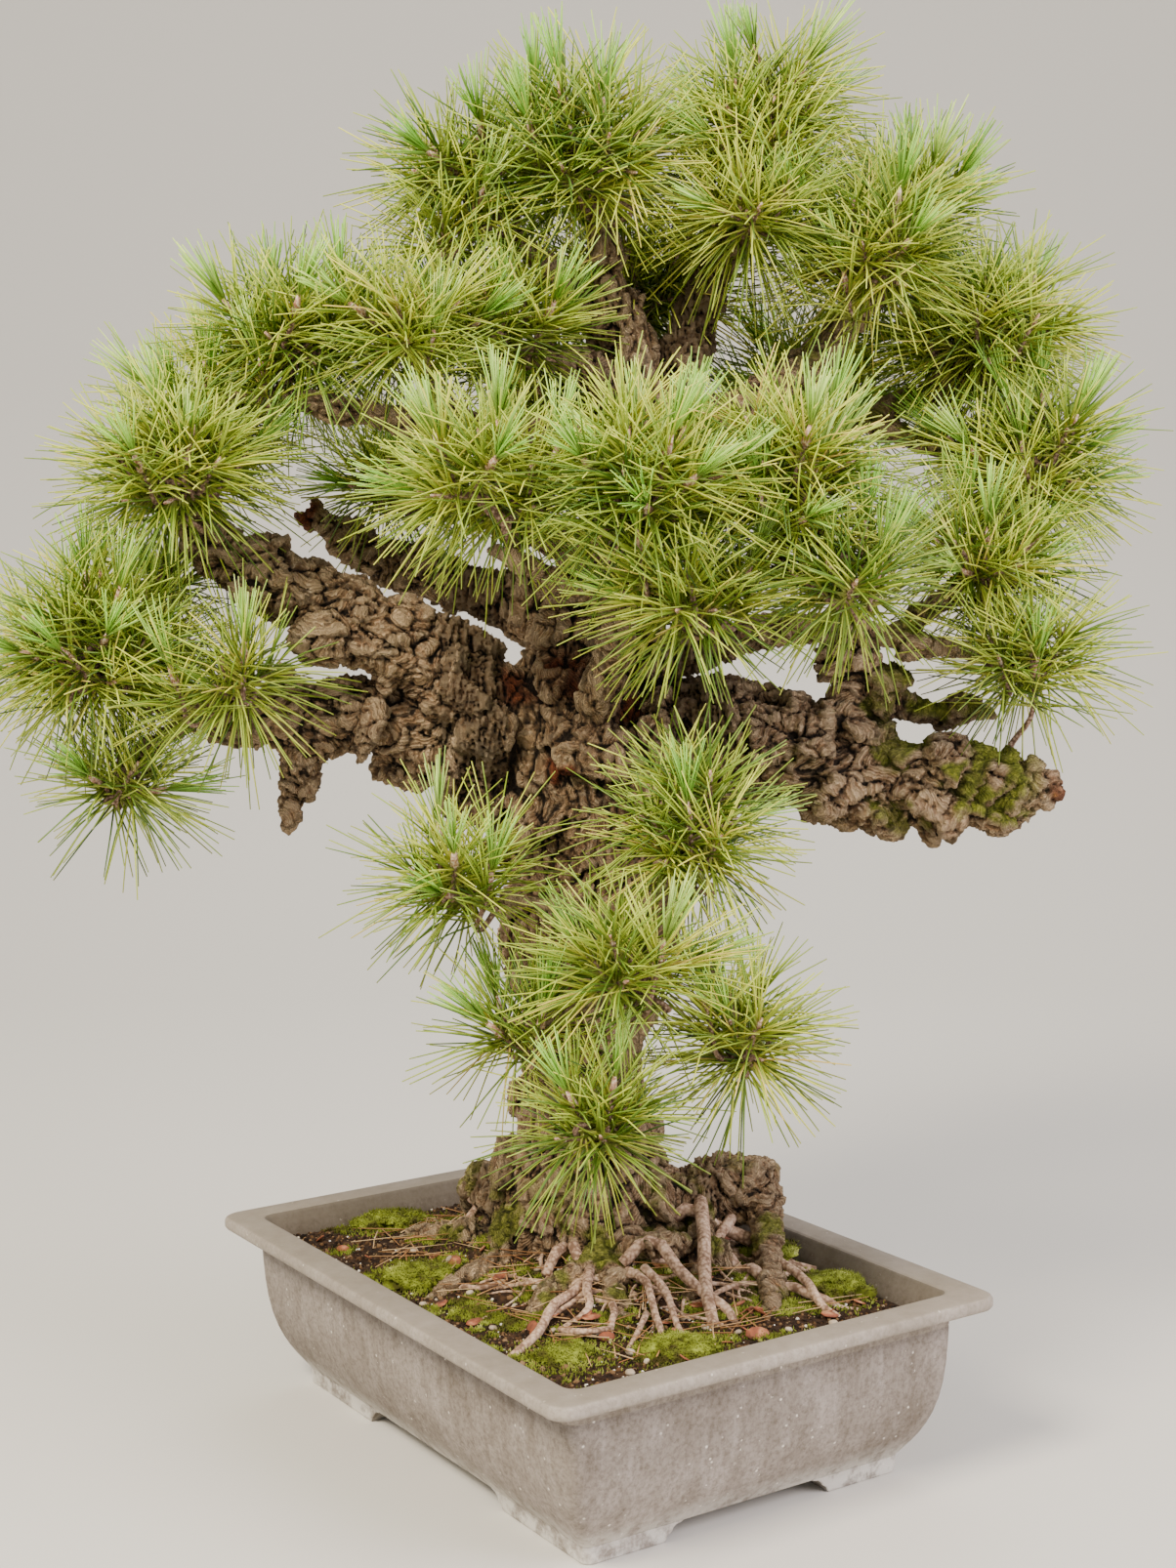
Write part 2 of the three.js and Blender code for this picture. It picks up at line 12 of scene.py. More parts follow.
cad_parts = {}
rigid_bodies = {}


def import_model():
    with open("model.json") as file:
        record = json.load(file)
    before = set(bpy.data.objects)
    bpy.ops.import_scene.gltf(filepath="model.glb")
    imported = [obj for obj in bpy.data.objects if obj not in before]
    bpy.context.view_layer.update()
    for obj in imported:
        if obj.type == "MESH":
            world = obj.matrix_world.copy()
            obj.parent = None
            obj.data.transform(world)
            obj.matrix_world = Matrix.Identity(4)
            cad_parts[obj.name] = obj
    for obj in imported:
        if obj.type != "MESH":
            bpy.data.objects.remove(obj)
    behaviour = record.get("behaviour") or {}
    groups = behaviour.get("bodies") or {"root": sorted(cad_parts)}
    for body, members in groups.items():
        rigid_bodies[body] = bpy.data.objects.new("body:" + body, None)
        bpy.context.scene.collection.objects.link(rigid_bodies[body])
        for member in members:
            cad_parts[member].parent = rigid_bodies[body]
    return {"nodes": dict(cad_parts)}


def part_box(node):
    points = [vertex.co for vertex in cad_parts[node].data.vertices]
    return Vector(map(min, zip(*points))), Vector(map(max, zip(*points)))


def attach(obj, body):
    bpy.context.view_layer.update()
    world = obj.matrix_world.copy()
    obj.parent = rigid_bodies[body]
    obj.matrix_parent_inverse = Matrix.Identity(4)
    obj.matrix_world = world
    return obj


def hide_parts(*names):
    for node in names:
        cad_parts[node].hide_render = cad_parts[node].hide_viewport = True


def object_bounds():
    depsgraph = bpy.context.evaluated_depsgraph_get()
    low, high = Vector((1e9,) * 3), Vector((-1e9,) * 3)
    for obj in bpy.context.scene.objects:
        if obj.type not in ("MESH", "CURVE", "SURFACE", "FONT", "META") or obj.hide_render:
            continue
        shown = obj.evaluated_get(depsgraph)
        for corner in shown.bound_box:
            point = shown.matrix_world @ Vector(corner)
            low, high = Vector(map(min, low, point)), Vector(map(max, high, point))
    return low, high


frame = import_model()
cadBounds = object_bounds()
nodes = frame["nodes"]
mm = 0.001
potLow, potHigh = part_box("pot")
potCentre = Vector(((potLow.x + potHigh.x) / 2, (potLow.y + potHigh.y) / 2, 0))
treeTurn = math.radians(57)  # how far the tree is turned in its pot
treeRight = Vector((math.cos(treeTurn), math.sin(treeTurn), 0))
treeBack = Vector((-math.sin(treeTurn), math.cos(treeTurn), 0))
noise.seed_set(7)


def fromTree(right, back, up):  # a place given in the tree's own directions, in mm from the pot's centre
    return potCentre + treeRight * right * mm + treeBack * back * mm + Vector((0, 0, up * mm))


def colour(hexValue):  # sRGB hex to linear
    channels = [int(hexValue[i:i + 2], 16) / 255 for i in (1, 3, 5)]
    return [c / 12.92 if c <= 0.04045 else ((c + 0.055) / 1.055) ** 2.4 for c in channels] + [1]


def addNode(tree, kind, settings=None, links=None, stops=None):
    node = tree.nodes.new(kind)
    for name, value in (settings or {}).items():
        if isinstance(name, int) or name in node.inputs:
            node.inputs[name].default_value = value
        else:
            setattr(node, name, value)
    if stops:
        ramp = node.color_ramp
        while len(ramp.elements) < len(stops):
            ramp.elements.new(0.5)
        for element, (position, value) in zip(ramp.elements, stops):
            element.position = position
            element.color = colour(value) if isinstance(value, str) else [value] * 3 + [1]
    for name, source in (links or {}).items():
        tree.links.new(source, node.inputs[name])
    return node


def newMaterial(name, settings):  # a Principled material with its node tree, shader and Object coordinates
    material = bpy.data.materials.new(name)
    material.use_nodes = True
    tree = material.node_tree
    shader = tree.nodes["Principled BSDF"]
    for socket, value in settings.items():
        shader.inputs[socket].default_value = value
    place = addNode(tree, "ShaderNodeTexCoord").outputs["Object"]
    return material, tree, shader, place


def addPiece(name, mesh, material, replaces=()):
    mesh.name = name
    mesh.materials.clear()
    mesh.materials.append(material)
    piece = bpy.data.objects.new(name, mesh)
    bpy.context.scene.collection.objects.link(piece)
    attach(piece, "root")
    if replaces:
        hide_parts(*replaces)
    return piece


def meshOf(bm, name, smooth=True):
    bmesh.ops.recalc_face_normals(bm, faces=bm.faces[:])
    mesh = bpy.data.meshes.new(name)
    bm.to_mesh(mesh)
    bm.free()
    mesh.shade_smooth() if smooth else mesh.shade_flat()
    return mesh


def withModifiers(mesh, *modifiers):  # the mesh as the modifiers leave it
    holder = bpy.data.objects.new("holder", mesh)
    bpy.context.scene.collection.objects.link(holder)
    for kind, settings in modifiers:
        modifier = holder.modifiers.new(kind, kind)
        for name, value in settings.items():
            setattr(modifier, name, value)
    graph = bpy.context.evaluated_depsgraph_get()
    result = bpy.data.meshes.new_from_object(holder.evaluated_get(graph))
    bpy.data.objects.remove(holder)
    return result


def mergedCopy(node):  # a CAD node's mesh with its loose triangles joined
    bm = bmesh.new()
    bm.from_mesh(nodes[node].data)
    bmesh.ops.remove_doubles(bm, verts=bm.verts[:], dist=0.02 * mm)
    return bm


def coordinates(mesh):
    points = np.zeros(len(mesh.vertices) * 3, np.float32)
    mesh.vertices.foreach_get("co", points)
    return points.reshape(-1, 3)


def vertexNormals(mesh):
    normals = np.zeros(len(mesh.vertices) * 3, np.float32)
    mesh.vertex_normals.foreach_get("vector", normals)
    return normals.reshape(-1, 3)


def template(bm):  # a small triangulated shape as arrays, to be copied many times
    bmesh.ops.triangulate(bm, faces=bm.faces[:])
    bmesh.ops.recalc_face_normals(bm, faces=bm.faces[:])
    bm.verts.index_update()
    points = np.array([v.co[:] for v in bm.verts])
    faces = np.array([[v.index for v in face.verts] for face in bm.faces])
    bm.free()
    return points, faces


def unit(vectors):
    return vectors / np.maximum(np.linalg.norm(vectors, axis=-1, keepdims=True), 1e-9)


def copies(name, shape, places, directions, lengths, widths, bends=None, values=None):
    # copies of an upright template, each turned along a direction and bent, with two values kept in UVs
    points, faces = shape
    bends = np.zeros((len(places), 3)) if bends is None else bends
    values = np.zeros((len(places), 3)) if values is None else values
    along = unit(np.array(directions, float))
    helper = np.where(np.abs(along[:, 2:3]) > 0.9, [[1.0, 0, 0]], [[0, 0, 1.0]])
    side = unit(np.cross(along, helper))
    other = np.cross(along, side)
    x, y, z = (points[None, :, i:i + 1] for i in range(3))
    lengths, widths = np.array(lengths)[:, None, None], np.array(widths)[:, None, None]
    spread = (np.array(places)[:, None] + along[:, None] * z * lengths
              + side[:, None] * x * widths + other[:, None] * y * widths
              + np.array(bends)[:, None] * z ** 2 * lengths)
    count, size = spread.shape[:2]
    allFaces = faces[None] + (np.arange(count) * size)[:, None, None]
    mesh = bpy.data.meshes.new(name)
    mesh.from_pydata(spread.reshape(-1, 3).tolist(), [], allFaces.reshape(-1, faces.shape[1]).tolist())
    mesh.shade_smooth()
    corner = allFaces.reshape(-1)
    heights = np.tile(points[:, 2], count)
    values = np.array(values, float)
    for layer, (first, second) in {
        "growth": (heights, np.repeat(values[:, 0], size)),
        "kind": (np.repeat(values[:, 1], size), np.repeat(values[:, 2], size)),
    }.items():
        uv = mesh.uv_layers.new(name=layer)
        uv.data.foreach_set("uv", np.stack([first[corner], second[corner]], 1).astype(np.float32).ravel())
    return mesh


# camera: standing in front of the pot's near corner, a little above the branches
camera = {"place": (9.1, -1780.3, 716.6), "lens": 51.56, "pitch": 6.04, "roll": 0.93}
cameraData = bpy.data.cameras.new("camera")
cameraData.lens = camera["lens"]
cameraObject = bpy.data.objects.new("camera", cameraData)
bpy.context.scene.collection.objects.link(cameraObject)
cameraObject.matrix_world = (
    Matrix.Translation(fromTree(*camera["place"])) @ Matrix.Rotation(treeTurn, 4, "Z")
    @ Matrix.Rotation(math.radians(90 - camera["pitch"]), 4, "X")
    @ Matrix.Rotation(math.radians(-camera["roll"]), 4, "Z"))
bpy.context.scene.camera = cameraObject

# stage: a pale floor swept up into a wall, under soft studio light
stage = {"floorSize": 9.0, "wall": 4.2, "bend": 2.4, "bendSteps": 12, "wallHeight": 7.0, "aim": 0.55,
         "floor": "#D9D6CF", "world": "#F4F2EE", "worldStrength": 0.82}
lamps = [  # place in the tree's directions (m), size, power, tint
    {"place": (-1.5, -2.0, 2.9), "size": 1.1, "power": 195, "tint": "#FFF3DE"},
    {"place": (2.4, -1.6, 1.9), "size": 2.0, "power": 112, "tint": "#F7EFF6"},
    {"place": (0.3, 2.4, 2.6), "size": 2.0, "power": 24, "tint": "#FFFFFF"},
]
bm = bmesh.new()
sweep = [(-stage["floorSize"], 0), (stage["wall"] - stage["bend"], 0)]
for step in range(1, stage["bendSteps"] + 1):
    angle = math.radians(90) * step / stage["bendSteps"]
    sweep.append((stage["wall"] - stage["bend"] * (1 - math.sin(angle)),
                  stage["bend"] * (1 - math.cos(angle))))
sweep.append((stage["wall"], stage["wallHeight"]))
edges = [[bm.verts.new(treeRight * side * stage["floorSize"] + treeBack * away + Vector((0, 0, high)))
          for away, high in sweep] for side in (-1, 1)]
for first, second in zip(range(len(sweep) - 1), range(1, len(sweep))):
    bm.faces.new((edges[0][first], edges[1][first], edges[1][second], edges[0][second]))
floor = bpy.data.objects.new("floor", meshOf(bm, "floor"))
bpy.context.scene.collection.objects.link(floor)
floorPaint = newMaterial("floor matt paint", {
    "Base Color": colour(stage["floor"]), "Roughness": 0.9, "Specular IOR Level": 0.2})
floor.data.materials.append(floorPaint[0])
world = bpy.data.worlds.new("studio")
world.use_nodes = True
world.node_tree.nodes["Background"].inputs["Color"].default_value = colour(stage["world"])
world.node_tree.nodes["Background"].inputs["Strength"].default_value = stage["worldStrength"]
bpy.context.scene.world = world
for number, lamp in enumerate(lamps):
    light = bpy.data.lights.new(f"softbox {number}", "AREA")
    light.size, light.energy, light.color = lamp["size"], lamp["power"], colour(lamp["tint"])[:3]
    lightObject = bpy.data.objects.new(f"softbox {number}", light)
    bpy.context.scene.collection.objects.link(lightObject)
    right, back, up = (value * 1000 for value in lamp["place"])
    lightObject.location = fromTree(right, back, up)
    aim = Vector((0, 0, stage["aim"])) - lightObject.location
    lightObject.rotation_euler = aim.to_track_quat("-Z", "Y").to_euler()
print("stage and camera done")

# pot: reduction fired stoneware, unglazed, pressed in a mould and sponged smooth
pot = {
    "rim": 11, "rimFlat": 27, "overhang": 24, "corner": 15, "cornerVanishes": 110, "cornerSteps": 7,
    "bowlInset": 25.5, "wall": 14, "floor": 14, "plinth": 7, "foot": 14, "footX": 115, "footY": 70,
    "footSlope": 14, "footWall": 26, "drain": 40, "drainSpacing": 240, "lip": 20, "panelDrop": 15,
    "panelDepth": 0.7,
}
potSize = potHigh - potLow
potTop = potHigh.z / mm
potWallTop = potTop - pot["rim"]
potBed = pot["foot"] + pot["floor"]
footInset = pot["overhang"] + pot["bowlInset"]


def wallInset(share):  # the wall draws in slowly under the rim, then round to the foot
    return pot["overhang"] + pot["bowlInset"] * (0.16 * share + 0.84 * share ** 4)


def wallHeight(share):
    return potWallTop + (pot["foot"] + pot["plinth"] - potWallTop) * share


def potOutline(inset, height):  # a rounded rectangle of places, drawn in from the rim's outside
    radius = pot["corner"] * (1 - inset / pot["cornerVanishes"])
    halfX = potSize.x / 2 / mm - inset - radius
    halfY = potSize.y / 2 / mm - inset - radius
    places = []
    for quarter, (sx, sy) in enumerate(((1, 1), (-1, 1), (-1, -1), (1, -1))):
        for step in range(pot["cornerSteps"] + 1):
            angle = (quarter + step / pot["cornerSteps"]) * math.pi / 2
            x, y = sx * halfX + radius * math.cos(angle), sy * halfY + radius * math.sin(angle)
            places.append(potCentre + Vector((x, y, height)) * mm)
    return places


def potShell(bm, levels, closed=False):  # one outline grown from level to level, then filled or joined up
    places = potOutline(*levels[0])
    verts = [bm.verts.new(spot) for spot in places]
    first = edges = [bm.edges.new((verts[i - 1], verts[i])) for i in range(len(verts))]
    for level in levels[1:] + (levels[:1] if closed else []):
        grown = bmesh.ops.extrude_edge_only(bm, edges=edges)["geom"]
        edges = [item for item in grown if isinstance(item, bmesh.types.BMEdge)]
        following = potOutline(*level)
        for vert in (item for item in grown if isinstance(item, bmesh.types.BMVert)):
            vert.co = following[min(range(len(places)), key=lambda i: (vert.co - places[i]).length_squared)]
        places = following
    if closed:
        bmesh.ops.remove_doubles(bm, verts=bm.verts[:], dist=0.01 * mm)
    else:
        bmesh.ops.edgeloop_fill(bm, edges=first)
        bmesh.ops.edgeloop_fill(bm, edges=edges)


def bedRing(height):
    share = min(max((potWallTop - height) / (potWallTop - pot["foot"] - pot["plinth"]), 0), 1)
    slope = min(max((potTop - height) / pot["lip"], 0), 1)
    return pot["rimFlat"] + (wallInset(share) + pot["wall"] - pot["rimFlat"]) * slope, height


outer = [(footInset + 5, pot["foot"]), (footInset + 4.4, pot["foot"] + 1)]
outer += [(wallInset(share), wallHeight(share))
          for share in (1, 0.95, 0.89, 0.82, 0.74, 0.64, 0.52, 0.38, 0.25)]
panelTop = potWallTop - pot["panelDrop"]
for drop, depth in ((1.2, 0), (0.45, 1), (-0.45, 1), (-1.2, 0)):  # the scribed line under the rim
    share = (potWallTop - (panelTop - drop)) / (potWallTop - pot["foot"] - pot["plinth"])
    outer.append((wallInset(share) + depth * pot["panelDepth"], panelTop - drop))
outer += [(wallInset(0.02) - 0.1, potWallTop - 3), (pot["overhang"] - 1.2, potWallTop - 0.9),
          (pot["overhang"] - 4, potWallTop), (4, potWallTop + 0.1), (1.4, potWallTop + 0.5),
          (0.2, potWallTop + 2.2), (0, potWallTop + 4), (0.2, potTop - 3.2), (1.1, potTop - 1.3),
          (2.8, potTop - 0.3), (5, potTop)]
inner = [(pot["rimFlat"] - 2, potTop), (pot["rimFlat"], potTop - 0.6)]
inner += [bedRing(potTop - drop) for drop in (3, 8, 14, 20, 30, 45, 62, 80, 95, 106)]
inner += [(bedRing(potBed)[0] + 3, potBed + 2), (bedRing(potBed)[0] + 8, potBed)]
bm = bmesh.new()
potShell(bm, outer + inner)
bowl = meshOf(bm, "bowl")

bm = bmesh.new()  # the feet start as a ring round the pot's underside
footTop = pot["foot"] + 0.6
potShell(bm, [(footInset + 6, 0.8), (footInset + 5.2, footTop), (footInset + 6 + pot["footWall"], footTop),
              (footInset + 6 + pot["footWall"], 0), (footInset + 7.2, 0)], closed=True)
feet = meshOf(bm, "feet")

bm = bmesh.new()  # what is cut away: a cloud-shaped gap on each side
for turn, halfSpan, reach in ((0, potSize.x / 2 / mm - footInset - 6 - pot["footX"], potSize.y / mm),
                              (90, potSize.y / 2 / mm - footInset - 6 - pot["footY"], potSize.x / mm)):
    slope = pot["footSlope"]
    outline = [(halfSpan + 2, -2), (halfSpan, 2), (halfSpan - 1.5, 5), (halfSpan - 5, 7), (halfSpan - 6, 9.5),
               (halfSpan - 9, 11.5), (halfSpan - slope, 12.4), (halfSpan - slope - 3, 16)]
    outline += [(-x, z) for x, z in reversed(outline)]
    face = bm.faces.new([bm.verts.new((x, -reach / 2, z)) for x, z in outline])
    grown = bmesh.ops.extrude_face_region(bm, geom=[face])
    moved = [item for item in grown["geom"] if isinstance(item, bmesh.types.BMVert)]
    bmesh.ops.translate(bm, verts=moved, vec=(0, reach, 0))
    turned = [v for v in bm.verts if not v.tag]
    bmesh.ops.rotate(bm, verts=turned, cent=(0, 0, 0), matrix=Matrix.Rotation(math.radians(turn), 3, "Z"))
    for v in bm.verts:
        v.tag = True
bmesh.ops.transform(bm, verts=bm.verts[:], matrix=Matrix.Translation(potCentre) @ Matrix.Scale(mm, 4))
gaps = bpy.data.objects.new("gaps", meshOf(bm, "gaps"))

bm = bmesh.new()
for sign in (-1, 1):
    drain = bmesh.ops.create_cone(bm, segments=40, radius1=pot["drain"] / 2 * mm,
                                  radius2=pot["drain"] / 2 * mm, depth=60 * mm, cap_ends=True)
    bmesh.ops.translate(bm, verts=drain["verts"],
                        vec=potCentre + Vector((sign * pot["drainSpacing"] / 2, 0, 18)) * mm)
drains = bpy.data.objects.new("drains", meshOf(bm, "drains"))
for cutter in (gaps, drains):
    bpy.context.scene.collection.objects.link(cutter)
footBevel = {"width": 1.3 * mm, "segments": 2, "limit_method": "ANGLE", "angle_limit": 0.6}
feet = withModifiers(feet, ("BOOLEAN", {"object": gaps, "operation": "DIFFERENCE", "solver": "EXACT"}),
                     ("BEVEL", footBevel))
bowl = withModifiers(bowl, ("BOOLEAN", {"object": drains, "operation": "DIFFERENCE", "solver": "EXACT"}))
for cutter in (gaps, drains):
    bpy.data.objects.remove(cutter)
bm = bmesh.new()
bm.from_mesh(bowl)
bm.from_mesh(feet)
potMesh = meshOf(bm, "pot")

# stoneware clay: matt, grey-brown, mottled by the kiln, with pale grog specks and lime bloom near the feet
clay, tree, shader, place = newMaterial("stoneware clay, sponged",
                                        {"Roughness": 0.8, "Specular IOR Level": 0.35})
clouds = addNode(tree, "ShaderNodeTexNoise", {"Scale": 13, "Detail": 7, "Roughness": 0.65}, {"Vector": place})
mottle = addNode(tree, "ShaderNodeTexNoise", {"Scale": 70, "Detail": 6, "Roughness": 0.7}, {"Vector": place})
grain = addNode(tree, "ShaderNodeTexNoise", {"Scale": 900, "Detail": 3, "Roughness": 0.6}, {"Vector": place})
base = addNode(tree, "ShaderNodeValToRGB", None, {"Fac": clouds.outputs["Fac"]},
               [(0.34, "#766B60"), (0.5, "#91877E"), (0.66, "#ADA39C")])
streakMap = addNode(tree, "ShaderNodeMapping", {"Scale": (75, 75, 16)}, {0: place})
streaks = addNode(tree, "ShaderNodeTexNoise", {"Scale": 1, "Detail": 5, "Roughness": 0.65},
                  {"Vector": streakMap.outputs[0]})
stain = addNode(tree, "ShaderNodeValToRGB", None, {"Fac": streaks.outputs["Fac"]},
                [(0.34, "#6E6356"), (0.52, "#958B82"), (0.7, "#AFA6A0")])
body = addNode(tree, "ShaderNodeMix", {"data_type": "RGBA", 0: 0.4},
               {6: base.outputs["Color"], 7: stain.outputs["Color"]})
sand = addNode(tree, "ShaderNodeTexNoise", {"Scale": 260, "Detail": 8, "Roughness": 0.75}, {"Vector": place})
sandy = addNode(tree, "ShaderNodeValToRGB", None, {"Fac": sand.outputs["Fac"]},
                [(0.36, "#B4ADA4"), (0.56, "#FFFFFF")])
body = addNode(tree, "ShaderNodeMix", {"data_type": "RGBA", "blend_type": "MULTIPLY", 0: 0.75},
               {6: body.outputs[2], 7: sandy.outputs["Color"]})
cells = addNode(tree, "ShaderNodeTexVoronoi", {"Scale": 150}, {"Vector": place})  # grog specks, 6 mm apart
speck = addNode(tree, "ShaderNodeValToRGB", None, {"Fac": cells.outputs["Distance"]},
                [(0.1, 1.0), (0.22, 0.0)])
rare = addNode(tree, "ShaderNodeMath", {"operation": "GREATER_THAN", 1: 0.575}, {0: mottle.outputs["Fac"]})
speckOn = addNode(tree, "ShaderNodeMath", {"operation": "MULTIPLY"},
                  {0: speck.outputs["Color"], 1: rare.outputs["Value"]})
specked = addNode(tree, "ShaderNodeMix", {"data_type": "RGBA", 7: colour("#DDD6CB")},
                  {0: speckOn.outputs["Value"], 6: body.outputs[2]})
axes = addNode(tree, "ShaderNodeSeparateXYZ", None, {"Vector": place})
low = addNode(tree, "ShaderNodeMapRange", {"From Min": 0.034, "From Max": 0.006, "To Min": 0, "To Max": 1},
              {"Value": axes.outputs["Z"]})
bloomNoise = addNode(tree, "ShaderNodeValToRGB", None, {"Fac": mottle.outputs["Fac"]},
                     [(0.38, 0.1), (0.55, 1.0)])
bloomOn = addNode(tree, "ShaderNodeMath", {"operation": "MULTIPLY"},
                  {0: low.outputs["Result"], 1: bloomNoise.outputs["Color"]})
bloomed = addNode(tree, "ShaderNodeMix", {"data_type": "RGBA", 7: colour("#D2CEC6")},
                  {0: bloomOn.outputs["Value"], 6: specked.outputs[2]})
# everything from 133.5 mm up is made lighter, fully from 136 mm, so the rim band is lighter than the walls
# below
rimEdge = addNode(tree, "ShaderNodeMapRange", {"From Min": 0.1335, "From Max": 0.136, "To Max": 0.32},
                  {"Value": axes.outputs["Z"]})
rimBandLighter = addNode(tree, "ShaderNodeMix", {"data_type": "RGBA", 7: colour("#B3AA9C")},
                 {0: rimEdge.outputs["Result"], 6: bloomed.outputs[2]})
rimFlat = addNode(tree, "ShaderNodeMapRange", {"From Min": 0.1438, "From Max": 0.1446, "To Max": 0.5},
                  {"Value": axes.outputs["Z"]})
rimDirt = addNode(tree, "ShaderNodeMath", {"operation": "MULTIPLY"},
                  {0: rimFlat.outputs["Result"], 1: sandy.outputs["Color"]})
handled = addNode(tree, "ShaderNodeMix", {"data_type": "RGBA", 7: colour("#756A5A")},
                  {0: rimDirt.outputs["Value"], 6: rimBandLighter.outputs[2]})
# faces that look back at the pot's centre are darkened: damp clay and painted shade on the inside wall, painted
# shade under the rim and under the pot
facing = addNode(tree, "ShaderNodeNewGeometry").outputs["Normal"]
inward = addNode(tree, "ShaderNodeVectorMath", {"operation": "DOT_PRODUCT"}, {0: facing, 1: place})
inside = addNode(tree, "ShaderNodeMath", {"operation": "LESS_THAN", 1: 0.0}, {0: inward.outputs["Value"]})
dampAndShade = addNode(tree, "ShaderNodeMath", {"operation": "MULTIPLY", 1: 0.7}, {0: inside.outputs["Value"]})
dampAndShaded = addNode(tree, "ShaderNodeMix", {"data_type": "RGBA", 7: colour("#574D40")},
                  {0: dampAndShade.outputs["Value"], 6: handled.outputs[2]})
rough = addNode(tree, "ShaderNodeMapRange", {"To Min": 0.66, "To Max": 0.92},
                {"Value": mottle.outputs["Fac"]})
bumpMix = addNode(tree, "ShaderNodeMath", {"operation": "MULTIPLY_ADD", 1: 0.35},
                  {0: grain.outputs["Fac"], 2: mottle.outputs["Fac"]})
bump = addNode(tree, "ShaderNodeBump", {"Strength": 0.35, "Distance": 0.0012},
               {"Height": bumpMix.outputs["Value"]})
tree.links.new(dampAndShaded.outputs[2], shader.inputs["Base Color"])
tree.links.new(rough.outputs["Result"], shader.inputs["Roughness"])
tree.links.new(bump.outputs["Normal"], shader.inputs["Normal"])
addPiece("claypot", potMesh, clay, [name for name in nodes if name.startswith("pot")])
print("pot done")

# drain screens: black polyethylene mesh, dull, with clay dust in its corners
meshPaint, tree, shader, place = newMaterial("black polyethylene mesh",
                                             {"Roughness": 0.5, "Specular IOR Level": 0.4})
dust = addNode(tree, "ShaderNodeTexNoise", {"Scale": 90, "Detail": 6}, {"Vector": place})
dusted = addNode(tree, "ShaderNodeValToRGB", None, {"Fac": dust.outputs["Fac"]},
                 [(0.45, "#1C1C1B"), (0.6, "#2C2A27"), (0.75, "#5A5046")])
bump = addNode(tree, "ShaderNodeBump", {"Strength": 0.2, "Distance": 0.0004}, {"Height": dust.outputs["Fac"]})
tree.links.new(dusted.outputs["Color"], shader.inputs["Base Color"])
tree.links.new(bump.outputs["Normal"], shader.inputs["Normal"])

# drainage gravel: coarse tan pumice, porous and dusty
gravelPaint, tree, shader, place = newMaterial("coarse tan pumice",
                                               {"Roughness": 0.95, "Specular IOR Level": 0.2})
stones = addNode(tree, "ShaderNodeTexVoronoi", {"Scale": 110}, {"Vector": place})  # stones 9 mm across
stoneTint = addNode(tree, "ShaderNodeSeparateColor", None, {"Color": stones.outputs["Color"]})
stoneColour = addNode(tree, "ShaderNodeValToRGB", None, {"Fac": stoneTint.outputs["Red"]},
                      [(0.0, "#8C7A5F"), (0.5, "#B5A283"), (1.0, "#CFC3AC")])
bump = addNode(tree, "ShaderNodeBump", {"Strength": 0.9, "Distance": 0.003, "invert": True},
               {"Height": stones.outputs["Distance"]})
tree.links.new(stoneColour.outputs["Color"], shader.inputs["Base Color"])
tree.links.new(bump.outputs["Normal"], shader.inputs["Normal"])

hiddenPaints = {"drain_screen_left": meshPaint, "drain_screen_right": meshPaint,
                "drainage_gravel": gravelPaint}
for name, paint in hiddenPaints.items():
    nodes[name].data.materials.clear()
    nodes[name].data.materials.append(paint)

# wood: the tree's own solid, refined twice and broken into corky plates
wood = {
    "firstVoxel": 3.2, "voxel": 2.1, "chunkSpacing": 36, "chunkRise": 15, "chunkCrack": 4, "chunkTilt": 55,
    "plateSpacing": 19, "plateRise": 2.6, "plateTilt": 130, "flakeRise": 1.3, "crack": 1.7, "crackDepth": 1.6,
    "sag": 0.35, "furrow": 1.7, "layer": 3.1, "ledge": 2.8, "cavityRounds": 14, "cavityDepth": 2.6,
    "seed": 11, "cuts": (240, 410, 500, 590, 700),
}
woodRandom = random.Random(wood["seed"])


def thickness(points, normals, mesh):  # how thick the wood is under each vertex
    shell = BVHTree.FromPolygons([v.co for v in mesh.vertices], [p.vertices[:] for p in mesh.polygons])
    depths = np.full(len(points), 60.0)
    for i, (point, normal) in enumerate(zip(points, normals)):
        start, ray = Vector(point), -Vector(normal)
        hit = shell.ray_cast(start + ray * 0.4 * mm, ray)
        if hit[0] is not None:
            depths[i] = hit[3] / mm
    return depths


def smoothStep(low, high, value):
    share = np.clip((value - low) / (high - low), 0, 1)
    return share * share * (3 - 2 * share)


def cellRelief(points, seeds, heights, crackWidth, tilt):  # leaning plates of uneven height, with cracks
    leans = [noise.noise_vector(Vector(seed) * 900) * tilt for seed in seeds]
    tree = KDTree(len(seeds))
    for i, seed in enumerate(seeds):
        tree.insert(seed, i)
    tree.balance()
    relief, crack, owner = np.zeros(len(points)), np.zeros(len(points)), np.zeros(len(points), int)
    for i, point in enumerate(points):
        (seed, nearest, first), (_, _, second) = tree.find_n(point, 2)
        edge = min((second - first) / (crackWidth * mm), 1)
        edge = edge * edge * (3 - 2 * edge)
        lean = leans[nearest].dot(Vector(point) - seed)
        relief[i] = (heights[nearest] + max(-0.6, min(0.6, lean))) * edge
        crack[i] = 1 - edge
        owner[i] = nearest
    return relief, crack, owner


def scatteredSeeds(points, spacing, rng):  # vertices picked no closer than a spacing
    grid, chosen, step = set(), [], spacing * mm
    order = list(range(len(points)))
    rng.shuffle(order)
    for i in order:
        cell = tuple(int(math.floor(value / step)) for value in points[i])
        if cell not in grid:
            grid.add(cell)
            chosen.append(points[i])
    return chosen


